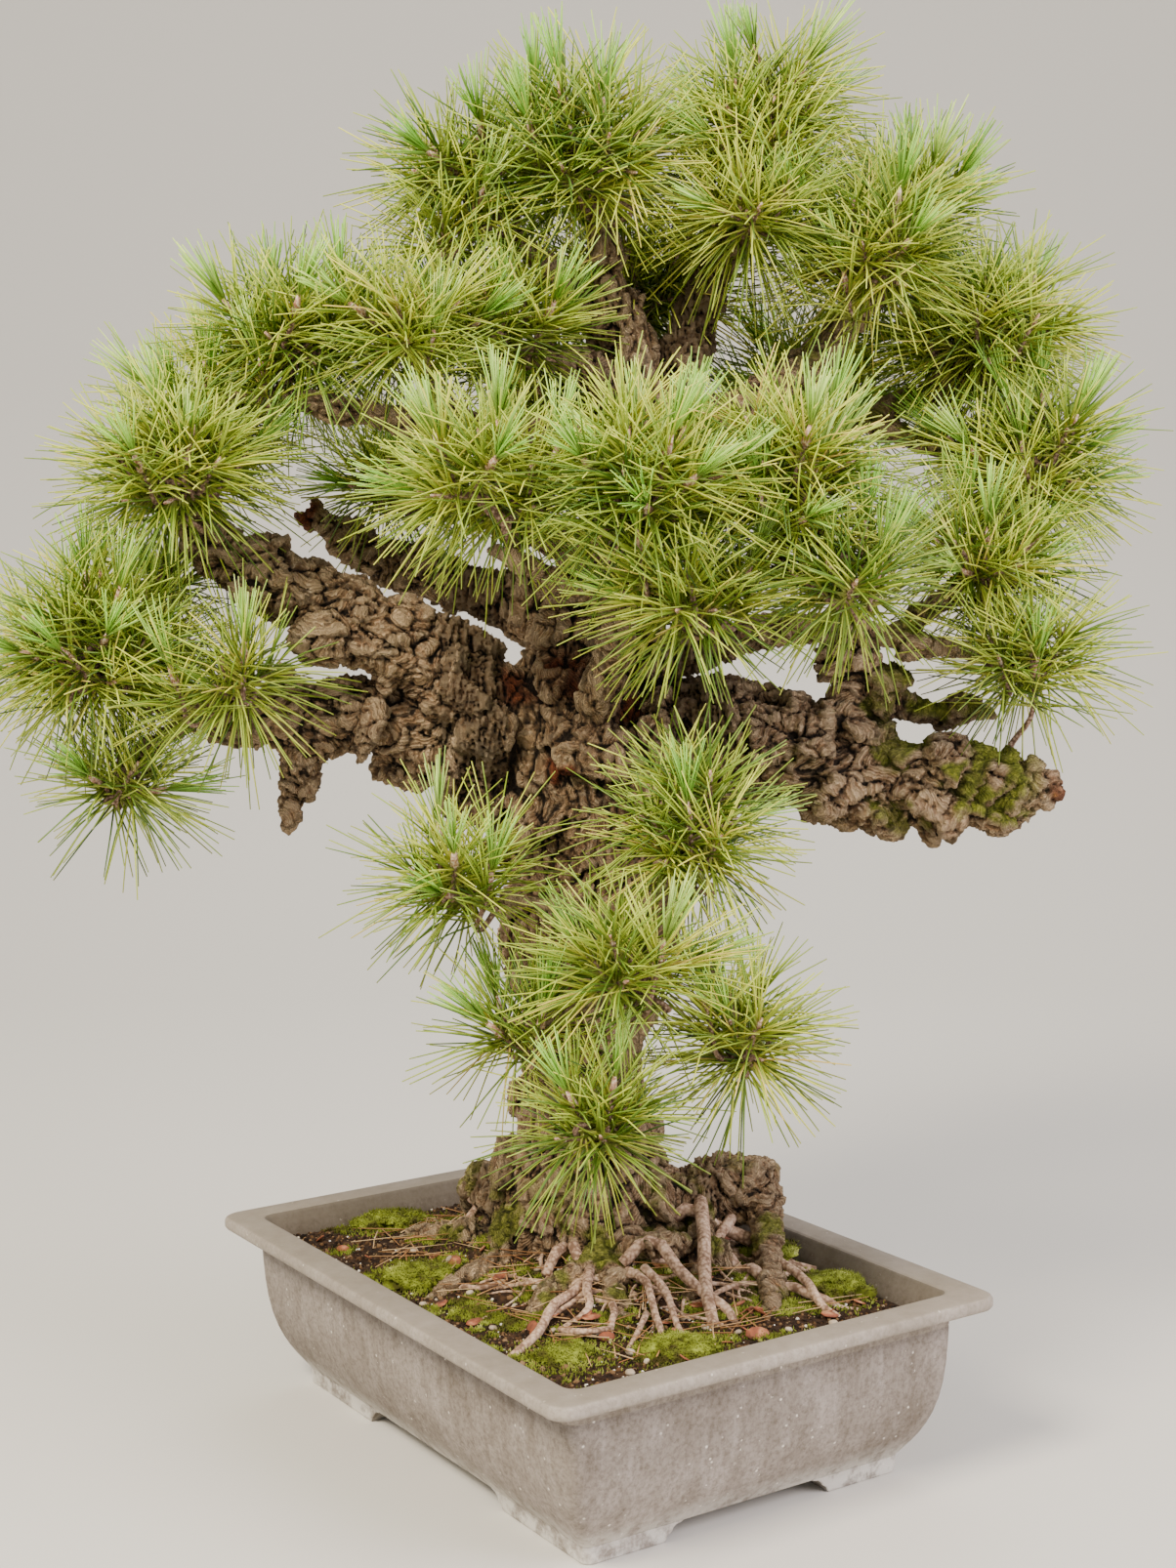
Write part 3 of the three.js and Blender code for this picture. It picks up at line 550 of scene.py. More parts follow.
rough = withModifiers(meshOf(mergedCopy("tree"), "rough"),
                      ("REMESH", {"mode": "VOXEL", "voxel_size": wood["firstVoxel"] * mm}))
points, normals = coordinates(rough), vertexNormals(rough)
depths = thickness(points, normals, rough)
seeds = scatteredSeeds(points, wood["chunkSpacing"], woodRandom)
heights = [woodRandom.random() ** 1.7 * 1.3 - 0.25 for _ in seeds]
stretched = points + np.array([noise.noise_vector(Vector(p) / (30 * mm)) for p in points]) * 6 * mm
relief, crack, _ = cellRelief(stretched, seeds, heights, wood["chunkCrack"], wood["chunkTilt"])
out = smoothStep(120, 200, np.abs((points - np.array(potCentre)) @ np.array(treeRight) / mm))
amount = np.minimum(depths * (0.22 + 0.1 * out), wood["chunkRise"] * (1 + 0.45 * out))
direction = unit(normals - np.array([0, 0, wood["sag"]]))
points = points + direction * (relief * amount - crack * amount * 0.25)[:, None] * mm
rough.vertices.foreach_set("co", points.astype(np.float32).ravel())
rough.update()
print("bark chunks", len(seeds))


def averaged(values, mesh, rounds):  # each vertex value blended with its neighbours'
    ends = np.zeros(len(mesh.edges) * 2, np.int32)
    mesh.edges.foreach_get("vertices", ends)
    first, second = ends[0::2], ends[1::2]
    count = np.bincount(ends, minlength=len(values))[:, None]
    for _ in range(rounds):
        total = np.stack([np.bincount(first, values[second, k], len(values))
                          + np.bincount(second, values[first, k], len(values))
                          for k in range(values.shape[1])], 1)
        values = total / np.maximum(count, 1)
    return values


fine = withModifiers(rough, ("REMESH", {"mode": "VOXEL", "voxel_size": wood["voxel"] * mm}))
points, normals = coordinates(fine).astype(float), vertexNormals(fine).astype(float)
depths = thickness(points, normals, fine)
local = (points - np.array(potCentre)) / mm
right, back = local @ np.array(treeRight), local @ np.array(treeBack)
limb = smoothStep(60, 120, np.abs(right - 10))  # 0 on the trunk, 1 out on the limbs
drift = np.array([noise.noise_vector(Vector(p) / (14 * mm)) for p in points])
stretched = np.stack([right * (1 - 0.55 * limb), back, local[:, 2] * (0.35 + 0.65 * limb)], 1) * mm
stretched = stretched + drift * 6 * mm
seeds = scatteredSeeds(stretched, wood["plateSpacing"], woodRandom)
heights = [woodRandom.random() for _ in seeds]
relief, crack, owner = cellRelief(stretched, seeds, heights, wood["crack"], wood["plateTilt"])
facing = np.array([noise.random_unit_vector() for _ in seeds])  # which way each plate's layers are stacked
facing[:, 2] *= 0.35
trunkLayers = (local * unit(facing)[owner]).sum(1)
limbLayers = (local * unit(facing[:, ::-1])[owner]).sum(1)
layers = trunkLayers * (1 - limb) + limbLayers * limb
layers = layers / wood["layer"] + drift[:, 1] * 2.2
ledge = ((layers / 3) % 1) ** 1.5 * (0.5 + 0.5 * limb)  # every third layer juts out
layer = np.array([noise.fractal(Vector(p) / (9 * mm), 0.8, 2.1, 3) for p in stretched])
layer = np.round(layer * 3) / 3
grain = np.stack([right * (1 - 0.75 * limb), back, local[:, 2] * (0.22 + 0.78 * limb)], 1) + drift * 7
furrow = np.array([1 - abs(noise.noise(Vector(p) / 7.5)) * 3.2 for p in grain])
furrow = np.clip(furrow, 0, 1) ** 2
amount = np.minimum(depths / 24, 1)
lift = (relief * wood["plateRise"] + ledge * wood["ledge"] + layer * wood["flakeRise"]
        - crack * wood["crackDepth"] - furrow * wood["furrow"]) * amount
points += normals * lift[:, None] * mm
fine.vertices.foreach_set("co", points.astype(np.float32).ravel())
fine.update()
# cavity: how far each vertex sits in a hollow; the bark paint turns it into painted shade in the hollows and a
# painted highlight on the ridges
cavity = ((averaged(points, fine, wood["cavityRounds"]) - points) * vertexNormals(fine)).sum(1) / mm
woundPlaces = [(-5, 12, 605, 30), (-58, 2, 600, 22), (-90, -12, 612, 14), (40, -6, 590, 16),
               (381, -30, 526, 15), (233, -10, 641, 12), (-10, -30, 540, 12), (-225, 138, 748, 12)]
wound = np.zeros(len(points))
for woundRight, woundBack, woundUp, reach in woundPlaces:
    away = np.sqrt((right - woundRight) ** 2 + (back - woundBack) ** 2 + (local[:, 2] - woundUp) ** 2)
    wound = np.maximum(wound, 1 - smoothStep(reach * 0.5, reach * 1.3, away + drift[:, 0] * 12))
patches = np.array([noise.fractal(Vector(p) / (34 * mm), 0.9, 2.0, 3) for p in points])
upFace = smoothStep(-0.5, 0.5, normals[:, 2] - normals @ np.array(treeBack) * 0.5)
mossy = smoothStep(225, 262, right) * smoothStep(372, 340, right) * upFace * smoothStep(-0.25, 0.12, patches)
mossy = np.maximum(mossy, smoothStep(235, 160, local[:, 2]) * smoothStep(0.05, 0.4, patches) * upFace * 0.9)
mossy = np.maximum(mossy, smoothStep(150, 200, right) * smoothStep(0.2, 0.5, patches) * upFace * 0.8)
marks = np.stack([np.clip(cavity / wood["cavityDepth"], -1, 1) * 0.5 + 0.5, mossy, wound, limb], 1)
attribute = fine.color_attributes.new("bark", "FLOAT_COLOR", "POINT")
attribute.data.foreach_set("color", marks.astype(np.float32).ravel())
attribute = fine.attributes.new("layers", "FLOAT", "POINT")
attribute.data.foreach_set("value", layers.astype(np.float32))

# corky pine bark: thick grey-brown plates and rust-red inner bark, with pale ridges, part weathering and part
# painted highlight, and painted shade darkening the fissures and hollows
bark, tree, shader, place = newMaterial("corky pine bark", {"Roughness": 0.92, "Specular IOR Level": 0.25})
marked = addNode(tree, "ShaderNodeAttribute", {"attribute_name": "bark"})
mark = addNode(tree, "ShaderNodeSeparateColor", None, {"Color": marked.outputs["Color"]})
broad = addNode(tree, "ShaderNodeTexNoise", {"Scale": 28, "Detail": 6, "Roughness": 0.65}, {"Vector": place})
scales = addNode(tree, "ShaderNodeTexNoise", {"Scale": 190, "Detail": 6, "Roughness": 0.7}, {"Vector": place})
layered = addNode(tree, "ShaderNodeAttribute", {"attribute_name": "layers"})
warped = addNode(tree, "ShaderNodeMath", {"operation": "MULTIPLY_ADD", 1: 2.4},
                 {0: scales.outputs["Fac"], 2: layered.outputs["Fac"]})
turns = addNode(tree, "ShaderNodeMath", {"operation": "MULTIPLY", 1: 2 * math.pi},
                {0: warped.outputs["Value"]})
wave = addNode(tree, "ShaderNodeMath", {"operation": "SINE"}, {0: turns.outputs["Value"]})
fibres = addNode(tree, "ShaderNodeMapRange", {"From Min": -1.0, "From Max": 1.0},
                 {"Value": wave.outputs["Value"]})
base = addNode(tree, "ShaderNodeValToRGB", None, {"Fac": broad.outputs["Fac"]},
               [(0.32, "#523D2E"), (0.46, "#A07C5A"), (0.58, "#CCAA80"), (0.72, "#F2DEBA")])
detail = addNode(tree, "ShaderNodeValToRGB", None, {"Fac": scales.outputs["Fac"]},
                 [(0.36, "#3E2B20"), (0.5, "#B4906A"), (0.66, "#F6E2C0")])
mixed = addNode(tree, "ShaderNodeMix", {"data_type": "RGBA", 0: 0.45},
                {6: base.outputs["Color"], 7: detail.outputs["Color"]})
lines = addNode(tree, "ShaderNodeValToRGB", None, {"Fac": fibres.outputs[0]},
                [(0.0, "#6A6058"), (0.3, "#C4BDB4"), (0.7, "#FFFFFF")])
mixed = addNode(tree, "ShaderNodeMix", {"data_type": "RGBA", "blend_type": "MULTIPLY", 0: 0.65},
                {6: mixed.outputs[2], 7: lines.outputs["Color"]})
# pale ridges, found from the cavity mark: part weathering, part painted highlight
ridge = addNode(tree, "ShaderNodeMapRange", {"From Min": 0.42, "From Max": 0.12, "To Max": 0.55},
                {"Value": mark.outputs["Red"]})
weatheredAndHighlit = addNode(tree, "ShaderNodeMix", {"data_type": "RGBA", 7: colour("#C6AE8C")},
                    {0: ridge.outputs["Result"], 6: mixed.outputs[2]})
rust = addNode(tree, "ShaderNodeValToRGB", None, {"Fac": scales.outputs["Fac"]},
               [(0.35, "#4A2214"), (0.65, "#94502E")])
wounded = addNode(tree, "ShaderNodeMix", {"data_type": "RGBA"},
                  {0: mark.outputs["Blue"], 6: weatheredAndHighlit.outputs[2], 7: rust.outputs["Color"]})
# painted shade: the hollows, found from the cavity mark, are mixed towards near-black
shade = addNode(tree, "ShaderNodeMapRange", {"From Min": 0.44, "From Max": 0.76, "To Max": 0.95},
                {"Value": mark.outputs["Red"]})
cavityShaded = addNode(tree, "ShaderNodeMix", {"data_type": "RGBA", 7: colour("#17100B")},
                   {0: shade.outputs["Result"], 6: wounded.outputs[2]})
green = addNode(tree, "ShaderNodeValToRGB", None, {"Fac": scales.outputs["Fac"]},
                [(0.3, "#3E4410"), (0.5, "#737A22"), (0.7, "#A9A846")])
grown = addNode(tree, "ShaderNodeMix", {"data_type": "RGBA"},
                {0: mark.outputs["Green"], 6: cavityShaded.outputs[2], 7: green.outputs["Color"]})
relief = addNode(tree, "ShaderNodeMath", {"operation": "MULTIPLY_ADD", 1: 1.1},
                 {0: fibres.outputs[0], 2: scales.outputs["Fac"]})
bump = addNode(tree, "ShaderNodeBump", {"Strength": 1.0, "Distance": 0.0026},
               {"Height": relief.outputs["Value"]})
tree.links.new(grown.outputs[2], shader.inputs["Base Color"])
tree.links.new(bump.outputs["Normal"], shader.inputs["Normal"])

cuts = [None] + [height * mm for height in wood["cuts"]] + [None]
for part, (low, high) in enumerate(zip(cuts, cuts[1:])):  # slices, each closed, that meet face to face
    bm = bmesh.new()
    bm.from_mesh(fine)
    for level, side in ((low, -1), (high, 1)):
        if level is not None:
            bmesh.ops.bisect_plane(bm, geom=bm.verts[:] + bm.edges[:] + bm.faces[:], plane_co=(0, 0, level),
                                   plane_no=(0, 0, side), clear_outer=True)
    known = set(bm.faces)
    bmesh.ops.holes_fill(bm, edges=[e for e in bm.edges if e.is_boundary], sides=0)
    woodSlice = bpy.data.meshes.new("slice")
    for face in bm.faces:
        face.smooth = face in known
    bm.to_mesh(woodSlice)
    bm.free()
    addPiece(f"wood_{part + 1}", woodSlice, bark, ["tree"])
    print("wood part", part + 1, len(woodSlice.polygons))


def curveMesh(strokes, sides):  # tapered tubes, each stroke a list of (place, radius)
    curve = bpy.data.curves.new("strokes", "CURVE")
    curve.dimensions, curve.bevel_depth, curve.bevel_resolution = "3D", 1, sides
    curve.use_fill_caps, curve.resolution_u = True, 3
    for stroke in strokes:
        spline = curve.splines.new("BEZIER")
        spline.bezier_points.add(len(stroke) - 1)
        for point, (place, radius) in zip(spline.bezier_points, stroke):
            point.co, point.radius = place, radius * mm
            point.handle_left_type = point.handle_right_type = "AUTO"
    holder = bpy.data.objects.new("strokes", curve)
    bpy.context.scene.collection.objects.link(holder)
    graph = bpy.context.evaluated_depsgraph_get()
    mesh = bpy.data.meshes.new_from_object(holder.evaluated_get(graph))
    bpy.data.objects.remove(holder)
    bm = bmesh.new()
    bm.from_mesh(mesh)
    bmesh.ops.remove_doubles(bm, verts=bm.verts[:], dist=0.00002)
    return meshOf(bm, "strokes")


# foliage: shoots inside each mass, ringed with last year's needles and topped with this year's
foliage = {
    "blend": 15, "spacing": 27, "depth": 24, "lowDepth": 33, "tries": 1500, "upward": 0.8, "stem": 30,
    "oldNeedles": 43, "newNeedles": 24, "length": (60, 80), "newLength": (42, 60), "shortest": 22,
    "width": 2.1, "droop": 0.12, "beyond": 16, "candleShare": 0.4, "ceilings": {"foliage_apex_left": 0.05},
    "seed": 5,
}
pads = sorted(name for name in nodes if name.startswith("foliage_"))
padBoxes = [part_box(name) for name in pads]
padCentres = np.array([(low + high)[:] for low, high in padBoxes]) / 2 / mm
padRadii = np.array([(high - low)[:] for low, high in padBoxes]) / 2 / mm


def padDepths(place):  # how deep a place (mm) lies in each mass
    offset = (place - padCentres) / padRadii
    return (1 - np.linalg.norm(offset, axis=1)) * padRadii.mean(1)


def depthOf(place):  # how deep it lies in all the masses taken together
    return foliage["blend"] * math.log(np.exp(padDepths(place) / foliage["blend"]).sum())


def outwards(place):
    steps = np.eye(3) * 2
    slope = np.array([depthOf(place - step) - depthOf(place + step) for step in steps])
    return slope / max(np.linalg.norm(slope), 1e-6)


needleRandom = np.random.default_rng(foliage["seed"])
shoots = []  # place (mm), axis, mass, whether it has new growth
tallCandles = [  # the shoots that stand out, in the tree's directions from the rim (mm)
    (-24, 4, 912), (29, -8, 901), (136, 39, 931), (145, 39, 864), (118, 99, 784), (218, 10, 769),
    (269, 99, 830), (286, 68, 756), (-104, -60, 722), (-234, -40, 706), (-307, 6, 682), (-50, -9, 746),
    (-291, -75, 635), (-11, -140, 634), (-52, -140, 652), (-132, 128, 623), (49, -170, 570), (139, -150, 597),
    (174, -150, 618), (219, -160, 548), (362, 38, 637), (323, -20, 569), (357, -42, 468), (-248, -91, 491),
    (-300, -91, 475), (-66, -131, 321), (-28, -172, 226), (82, -154, 373), (59, -204, 280), (93, -170, 234),
]
for right, back, height in tallCandles:
    place = np.array(fromTree(right, back, height + potTop)) / mm
    axis = outwards(place) * 0.35 + [0, 0, 1]
    shoots.append((place, axis / np.linalg.norm(axis), int(padDepths(place).argmax()), True))
for number, name in enumerate(pads):
    for _ in range(foliage["tries"]):
        share = needleRandom.uniform(-0.9, 0.9, 3)
        if share[2] > foliage["ceilings"].get(name, 1):
            continue
        place = padCentres[number] + share * padRadii[number]
        needed = foliage["lowDepth" if "_low_" in name else "depth"]
        if depthOf(place) < needed or padDepths(place).argmax() != number:
            continue
        if any(np.linalg.norm(place - other[0]) < foliage["spacing"] for other in shoots):
            continue
        outward = outwards(place)
        axis = outward + needleRandom.normal(0, 0.22, 3) + [0, 0, foliage["upward"]]
        shoots.append((place, axis / np.linalg.norm(axis), number, False))
shoots = [(place, axis, number,
           tall or (depthOf(place + axis * 42) < 26 and axis[2] > 0.15
                    and needleRandom.random() < foliage["candleShare"]))
          for place, axis, number, tall in shoots]
print("shoots", len(shoots), "with new growth", sum(shoot[3] for shoot in shoots))

bm = bmesh.new()
bmesh.ops.create_cone(bm, cap_ends=True, segments=3, radius1=0.5, radius2=0.24, depth=1)
bmesh.ops.translate(bm, verts=bm.verts[:], vec=(0, 0, 0.5))
bmesh.ops.bisect_plane(bm, geom=bm.verts[:] + bm.edges[:] + bm.faces[:], plane_co=(0, 0, 0.5),
                       plane_no=(0, 0, 1))
needleShape = template(bm)


def perpendicular(axis, count):  # unit vectors at random round an axis
    vectors = needleRandom.normal(size=(count, 3))
    vectors -= (vectors @ axis)[:, None] * axis
    return unit(vectors)


# pine needles: waxy green, with painted shade darkening the needles near each shoot's base deep in the tuft,
# pale bases and yellowing tips
needlePaint, tree, shader, place = newMaterial("waxy pine needle",
                                               {"Roughness": 0.4, "Specular IOR Level": 0.35})
growth = addNode(tree, "ShaderNodeUVMap", {"uv_map": "growth"})
kind = addNode(tree, "ShaderNodeUVMap", {"uv_map": "kind"})
growth = addNode(tree, "ShaderNodeSeparateXYZ", None, {0: growth.outputs[0]})
kind = addNode(tree, "ShaderNodeSeparateXYZ", None, {0: kind.outputs[0]})
oldGreen = addNode(tree, "ShaderNodeValToRGB", None, {"Fac": kind.outputs["Y"]},
                   [(0.0, "#3F6420"), (0.25, "#72922E"), (0.55, "#B2C646"), (0.85, "#DCE05A"),
                    (1.0, "#E8C870")])
newGreen = addNode(tree, "ShaderNodeValToRGB", None, {"Fac": kind.outputs["Y"]},
                   [(0.0, "#82C244"), (0.5, "#AEDE5A"), (1.0, "#DCF28C")])
byAge = addNode(tree, "ShaderNodeMix", {"data_type": "RGBA"},
                {0: kind.outputs["X"], 6: oldGreen.outputs["Color"], 7: newGreen.outputs["Color"]})
# painted shade: needles near the base of each shoot, inside the tuft, are darkened
inner = addNode(tree, "ShaderNodeValToRGB", None, {"Fac": growth.outputs["Y"]},
                [(0.0, "#A2A898"), (0.5, "#FFFFFF")])
tuftShaded = addNode(tree, "ShaderNodeMix", {"data_type": "RGBA", "blend_type": "MULTIPLY", 0: 1.0},
               {6: byAge.outputs[2], 7: inner.outputs["Color"]})
ends = addNode(tree, "ShaderNodeValToRGB", None, {"Fac": growth.outputs["X"]},
               [(0.0, "#FFFFFF"), (0.16, "#000000"), (0.9, "#000000"), (1.0, "#8A8A8A")])
needleColour = addNode(tree, "ShaderNodeMix", {"data_type": "RGBA", 7: colour("#C9CC6A")},
                       {0: ends.outputs["Color"], 6: tuftShaded.outputs[2]})
tree.links.new(needleColour.outputs[2], shader.inputs["Base Color"])

limitLow = np.array(cadBounds[0]) / mm - foliage["beyond"]
limitHigh = np.array(cadBounds[1]) / mm + foliage["beyond"]
for number, name in enumerate(pads):
    places, directions, lengths, widths, bends, values = [], [], [], [], [], []
    for shootPlace, axis, owner, candle in shoots:
        if owner != number:
            continue
        age = needleRandom.uniform(0, 1)
        for new in (False, True) if candle else (False,):
            count = foliage["newNeedles"] if new else foliage["oldNeedles"]
            along = needleRandom.uniform(0, 1, count)  # 1 at the shoot's tip
            if new:
                angle = np.radians(needleRandom.uniform(2, 22, count))
                start = shootPlace + axis * (8 + along[:, None] * 6)
                length = needleRandom.uniform(*foliage["newLength"], count)
            else:
                angle = np.radians(28 + (1 - along) * 58 + needleRandom.normal(0, 11, count))
                start = shootPlace - axis * ((1 - along[:, None]) * foliage["stem"])
                length = needleRandom.uniform(*foliage["length"], count)
            direction = axis * np.cos(angle)[:, None] + perpendicular(axis, count) * np.sin(angle)[:, None]
            tips = start + direction * length[:, None]
            over = np.maximum(np.maximum(limitLow - tips, tips - limitHigh), 0).max(1)
            length -= over / np.maximum(np.abs(direction).max(1), 0.5)
            keep = (length > foliage["shortest"]) & (needleRandom.random(count) < 0.97)
            places.append(start[keep])
            directions.append(direction[keep])
            lengths.append(length[keep])
            widths.append(np.full(keep.sum(), foliage["width"] * (0.9 if new else 1)))
            fall = needleRandom.uniform(0.4, 1.3, keep.sum()) * foliage["droop"] * (0.3 if new else 1)
            bends.append(needleRandom.normal(0, 0.035, (keep.sum(), 3)) - fall[:, None] * np.array([0, 0, 1]))
            tint = np.clip(age * 0.45 + needleRandom.uniform(0, 0.55, keep.sum()), 0, 1)
            values.append(np.stack([along[keep], np.full(keep.sum(), float(new)), tint], 1))
    mesh = copies(name, needleShape, np.concatenate(places) * mm, np.concatenate(directions),
                  np.concatenate(lengths) * mm, np.concatenate(widths) * mm, np.concatenate(bends),
                  np.concatenate(values))
    addPiece(name.replace("foliage", "needles"), mesh, needlePaint, [name])
needleFaces = sum(len(p.data.polygons) for p in bpy.data.objects if p.name.startswith("needles"))
print("needles", needleFaces // len(needleShape[1]))

# twigs: each shoot joined to the nearest wood or to a shoot already joined
twigs = {"lowest": 300, "every": 60, "foot": 1.2, "detour": 1.25, "tip": 1.7, "growth": 0.75, "sag": 0.1,
         "stray": 0.09}
woodPlaces = points[points[:, 2] > twigs["lowest"] * mm][::twigs["every"]]
joined = [(place / mm, -1) for place in woodPlaces]
waiting = list(range(len(shoots)))
footOf = {i: shoots[i][0] - shoots[i][1] * foliage["stem"] * twigs["foot"] for i in waiting}
nearest = {}
joinedPlaces = np.array([place for place, _ in joined])
for i in waiting:
    distances = np.linalg.norm(joinedPlaces - footOf[i], axis=1)
    nearest[i] = (distances.min(), int(distances.argmin()))
parents = {}
while waiting:
    best = min(waiting, key=lambda i: nearest[i][0])
    waiting.remove(best)
    parents[best] = nearest[best][1]
    joined.append((footOf[best], best))
    for i in waiting:
        distance = np.linalg.norm(footOf[i] - footOf[best]) * twigs["detour"]
        if distance < nearest[i][0]:
            nearest[i] = (distance, len(joined) - 1)
carried = {i: 1 for i in parents}
for i in reversed(list(parents)):
    owner = joined[parents[i]][1]
    if owner >= 0:
        carried[owner] += carried[i]
strokes = []
for i, parent in parents.items():
    shootPlace, axis = shoots[i][0], shoots[i][1]
    start, foot = np.array(joined[parent][0]), footOf[i]
    span = np.linalg.norm(foot - start)
    thick = twigs["tip"] + twigs["growth"] * math.sqrt(carried[i])
    sag = np.array([0, 0, -twigs["sag"] * span]) + needleRandom.normal(0, twigs["stray"] * span, 3)
    strokes.append([(Vector(start * mm), thick * 1.15),
                    (Vector((start * 0.6 + foot * 0.4 + sag) * mm), thick),
                    (Vector(foot * mm), max(thick * 0.8, 2.0)),
                    (Vector((foot * 0.4 + shootPlace * 0.6) * mm), 2.0),
                    (Vector(shootPlace * mm), twigs["tip"])])

# young pine twig: scaly grey-brown bark with a pinkish cast
twigPaint, tree, shader, place = newMaterial("scaly twig bark",
                                             {"Roughness": 0.85, "Specular IOR Level": 0.25})
scaly = addNode(tree, "ShaderNodeTexVoronoi", {"Scale": 420}, {"Vector": place})
twigColour = addNode(tree, "ShaderNodeValToRGB", None, {"Fac": scaly.outputs["Distance"]},
                     [(0.1, "#B59C8A"), (0.4, "#8F7462"), (0.75, "#5A4335")])
tree.links.new(twigColour.outputs["Color"], shader.inputs["Base Color"])
bump = addNode(tree, "ShaderNodeBump", {"Strength": 0.6, "Distance": 0.0006, "invert": True},
               {"Height": scaly.outputs["Distance"]})
tree.links.new(bump.outputs["Normal"], shader.inputs["Normal"])
addPiece("twigs", curveMesh(strokes, 1), twigPaint)
print("twigs", len(strokes))

# candles: papery buds that the new needles come out of
bm = bmesh.new()
bmesh.ops.create_cone(bm, cap_ends=True, segments=7, radius1=0.5, radius2=0.2, depth=1)
bmesh.ops.translate(bm, verts=bm.verts[:], vec=(0, 0, 0.5))
bmesh.ops.bisect_plane(bm, geom=bm.verts[:] + bm.edges[:] + bm.faces[:], plane_co=(0, 0, 0.6),
                       plane_no=(0, 0, 1))
candleShape = template(bm)
budPaint, tree, shader, place = newMaterial("papery bud scales",
                                            {"Roughness": 0.7, "Specular IOR Level": 0.3})
budNoise = addNode(tree, "ShaderNodeTexNoise", {"Scale": 500, "Detail": 3}, {"Vector": place})
budColour = addNode(tree, "ShaderNodeValToRGB", None, {"Fac": budNoise.outputs["Fac"]},
                    [(0.35, "#9A6A54"), (0.5, "#CFA48C"), (0.66, "#F0E0CE")])
tree.links.new(budColour.outputs["Color"], shader.inputs["Base Color"])
candles = {"length": (9, 16), "width": (4.5, 7.5), "sunk": 2}  # resting bud, growing bud
growing = [int(shoot[3]) for shoot in shoots]
places = np.array([place - axis * candles["sunk"] for place, axis, _, _ in shoots])
addPiece("candles", copies("candles", candleShape, places * mm, [shoot[1] for shoot in shoots],
                           np.array(candles["length"])[growing] * mm,
                           np.array(candles["width"])[growing] * mm), budPaint)
print("candles done")

# soil: gritty dark mix, remeshed fine enough to be uneven, with loose grains on it
ground = {
    "voxel": 4, "bumps": 2.4, "grains": 7500, "pebbles": 46, "dryNeedles": 240, "flakes": 60, "sprigs": 26000,
    "skirtSprigs": 7000, "mossLimit": 0.3, "mossSize": 46, "cushionVoxel": 2.4, "cushionSwell": 1.8,
    "margins": {"grains": 43, "pebbles": 52, "sprigs": 46, "dryNeedles": 85, "flakes": 60}, "seed": 23,
}
groundRandom = np.random.default_rng(ground["seed"])
bed = withModifiers(meshOf(mergedCopy("soil"), "bed"),
                    ("REMESH", {"mode": "VOXEL", "voxel_size": ground["voxel"] * mm}))
points, normals = coordinates(bed).astype(float), vertexNormals(bed).astype(float)
uneven = np.array([noise.fractal(Vector(p) / (16 * mm), 0.7, 2.2, 4) for p in points])
top = np.clip(normals[:, 2] * 2 - 0.6, 0, 1)
fromRim = np.array([potSize.x / 2, potSize.y / 2]) - np.abs(points[:, :2] - np.array(potCentre)[:2])
inset = np.clip(fromRim.min(1) / mm - 48, 0, 20) / 20
points[:, 2] += uneven * ground["bumps"] * mm * top * (0.3 + 0.7 * inset)
bed.vertices.foreach_set("co", points.astype(np.float32).ravel())
bed.update()


def mossiness(x, y):  # patches of moss, thickest among the roots
    turned = Vector((x, y, 0))
    alongRight, alongBack = turned.dot(treeRight), turned.dot(treeBack)
    reach = math.hypot((alongRight - 40) / 175, (alongBack + 15) / 150)
    patch = noise.fractal(Vector((x, y, 40)) / ground["mossSize"], 0.8, 2.0, 4)
    return patch * 1.2 + 0.62 - reach * 0.62


cover = np.array([mossiness(*((p - np.array(potCentre)) / mm)[:2]) for p in points])
attribute = bed.attributes.new("cover", "FLOAT", "POINT")
attribute.data.foreach_set("value", smoothStep(0.15, 0.4, cover).astype(np.float32))
soilPaint, tree, shader, place = newMaterial("moist gritty soil",
                                             {"Roughness": 0.95, "Specular IOR Level": 0.2})
coarse = addNode(tree, "ShaderNodeTexNoise", {"Scale": 120, "Detail": 6, "Roughness": 0.75},
                 {"Vector": place})
specks = addNode(tree, "ShaderNodeTexVoronoi", {"Scale": 260}, {"Vector": place})
soilColour = addNode(tree, "ShaderNodeValToRGB", None, {"Fac": coarse.outputs["Fac"]},
                     [(0.3, "#140C07"), (0.5, "#2E1F14"), (0.7, "#553D28")])
speckle = addNode(tree, "ShaderNodeMath", {"operation": "LESS_THAN", 1: 0.16},
                  {0: specks.outputs["Distance"]})
speckled = addNode(tree, "ShaderNodeMix", {"data_type": "RGBA", 7: colour("#8A7458")},
                   {0: speckle.outputs["Value"], 6: soilColour.outputs["Color"]})
covered = addNode(tree, "ShaderNodeAttribute", {"attribute_name": "cover"})
film = addNode(tree, "ShaderNodeValToRGB", None, {"Fac": coarse.outputs["Fac"]},
               [(0.3, "#1C260C"), (0.5, "#3F4A18"), (0.7, "#76803A")])
greened = addNode(tree, "ShaderNodeMix", {"data_type": "RGBA"},
                  {0: covered.outputs["Fac"], 6: speckled.outputs[2], 7: film.outputs["Color"]})
bump = addNode(tree, "ShaderNodeBump", {"Strength": 1.0, "Distance": 0.0025},
               {"Height": coarse.outputs["Fac"]})
tree.links.new(greened.outputs[2], shader.inputs["Base Color"])
tree.links.new(bump.outputs["Normal"], shader.inputs["Normal"])
addPiece("soil_bed", bed, soilPaint, ["soil"])
print("soil bed done")

bedTree = BVHTree.FromPolygons([v.co for v in bed.vertices], [p.vertices[:] for p in bed.polygons])
woodTree = BVHTree.FromPolygons([v.co for v in rough.vertices], [p.vertices[:] for p in rough.polygons])
up = Vector((0, 0, 1))
dropHeight = 350  # from where a ray falls on the bed (mm)


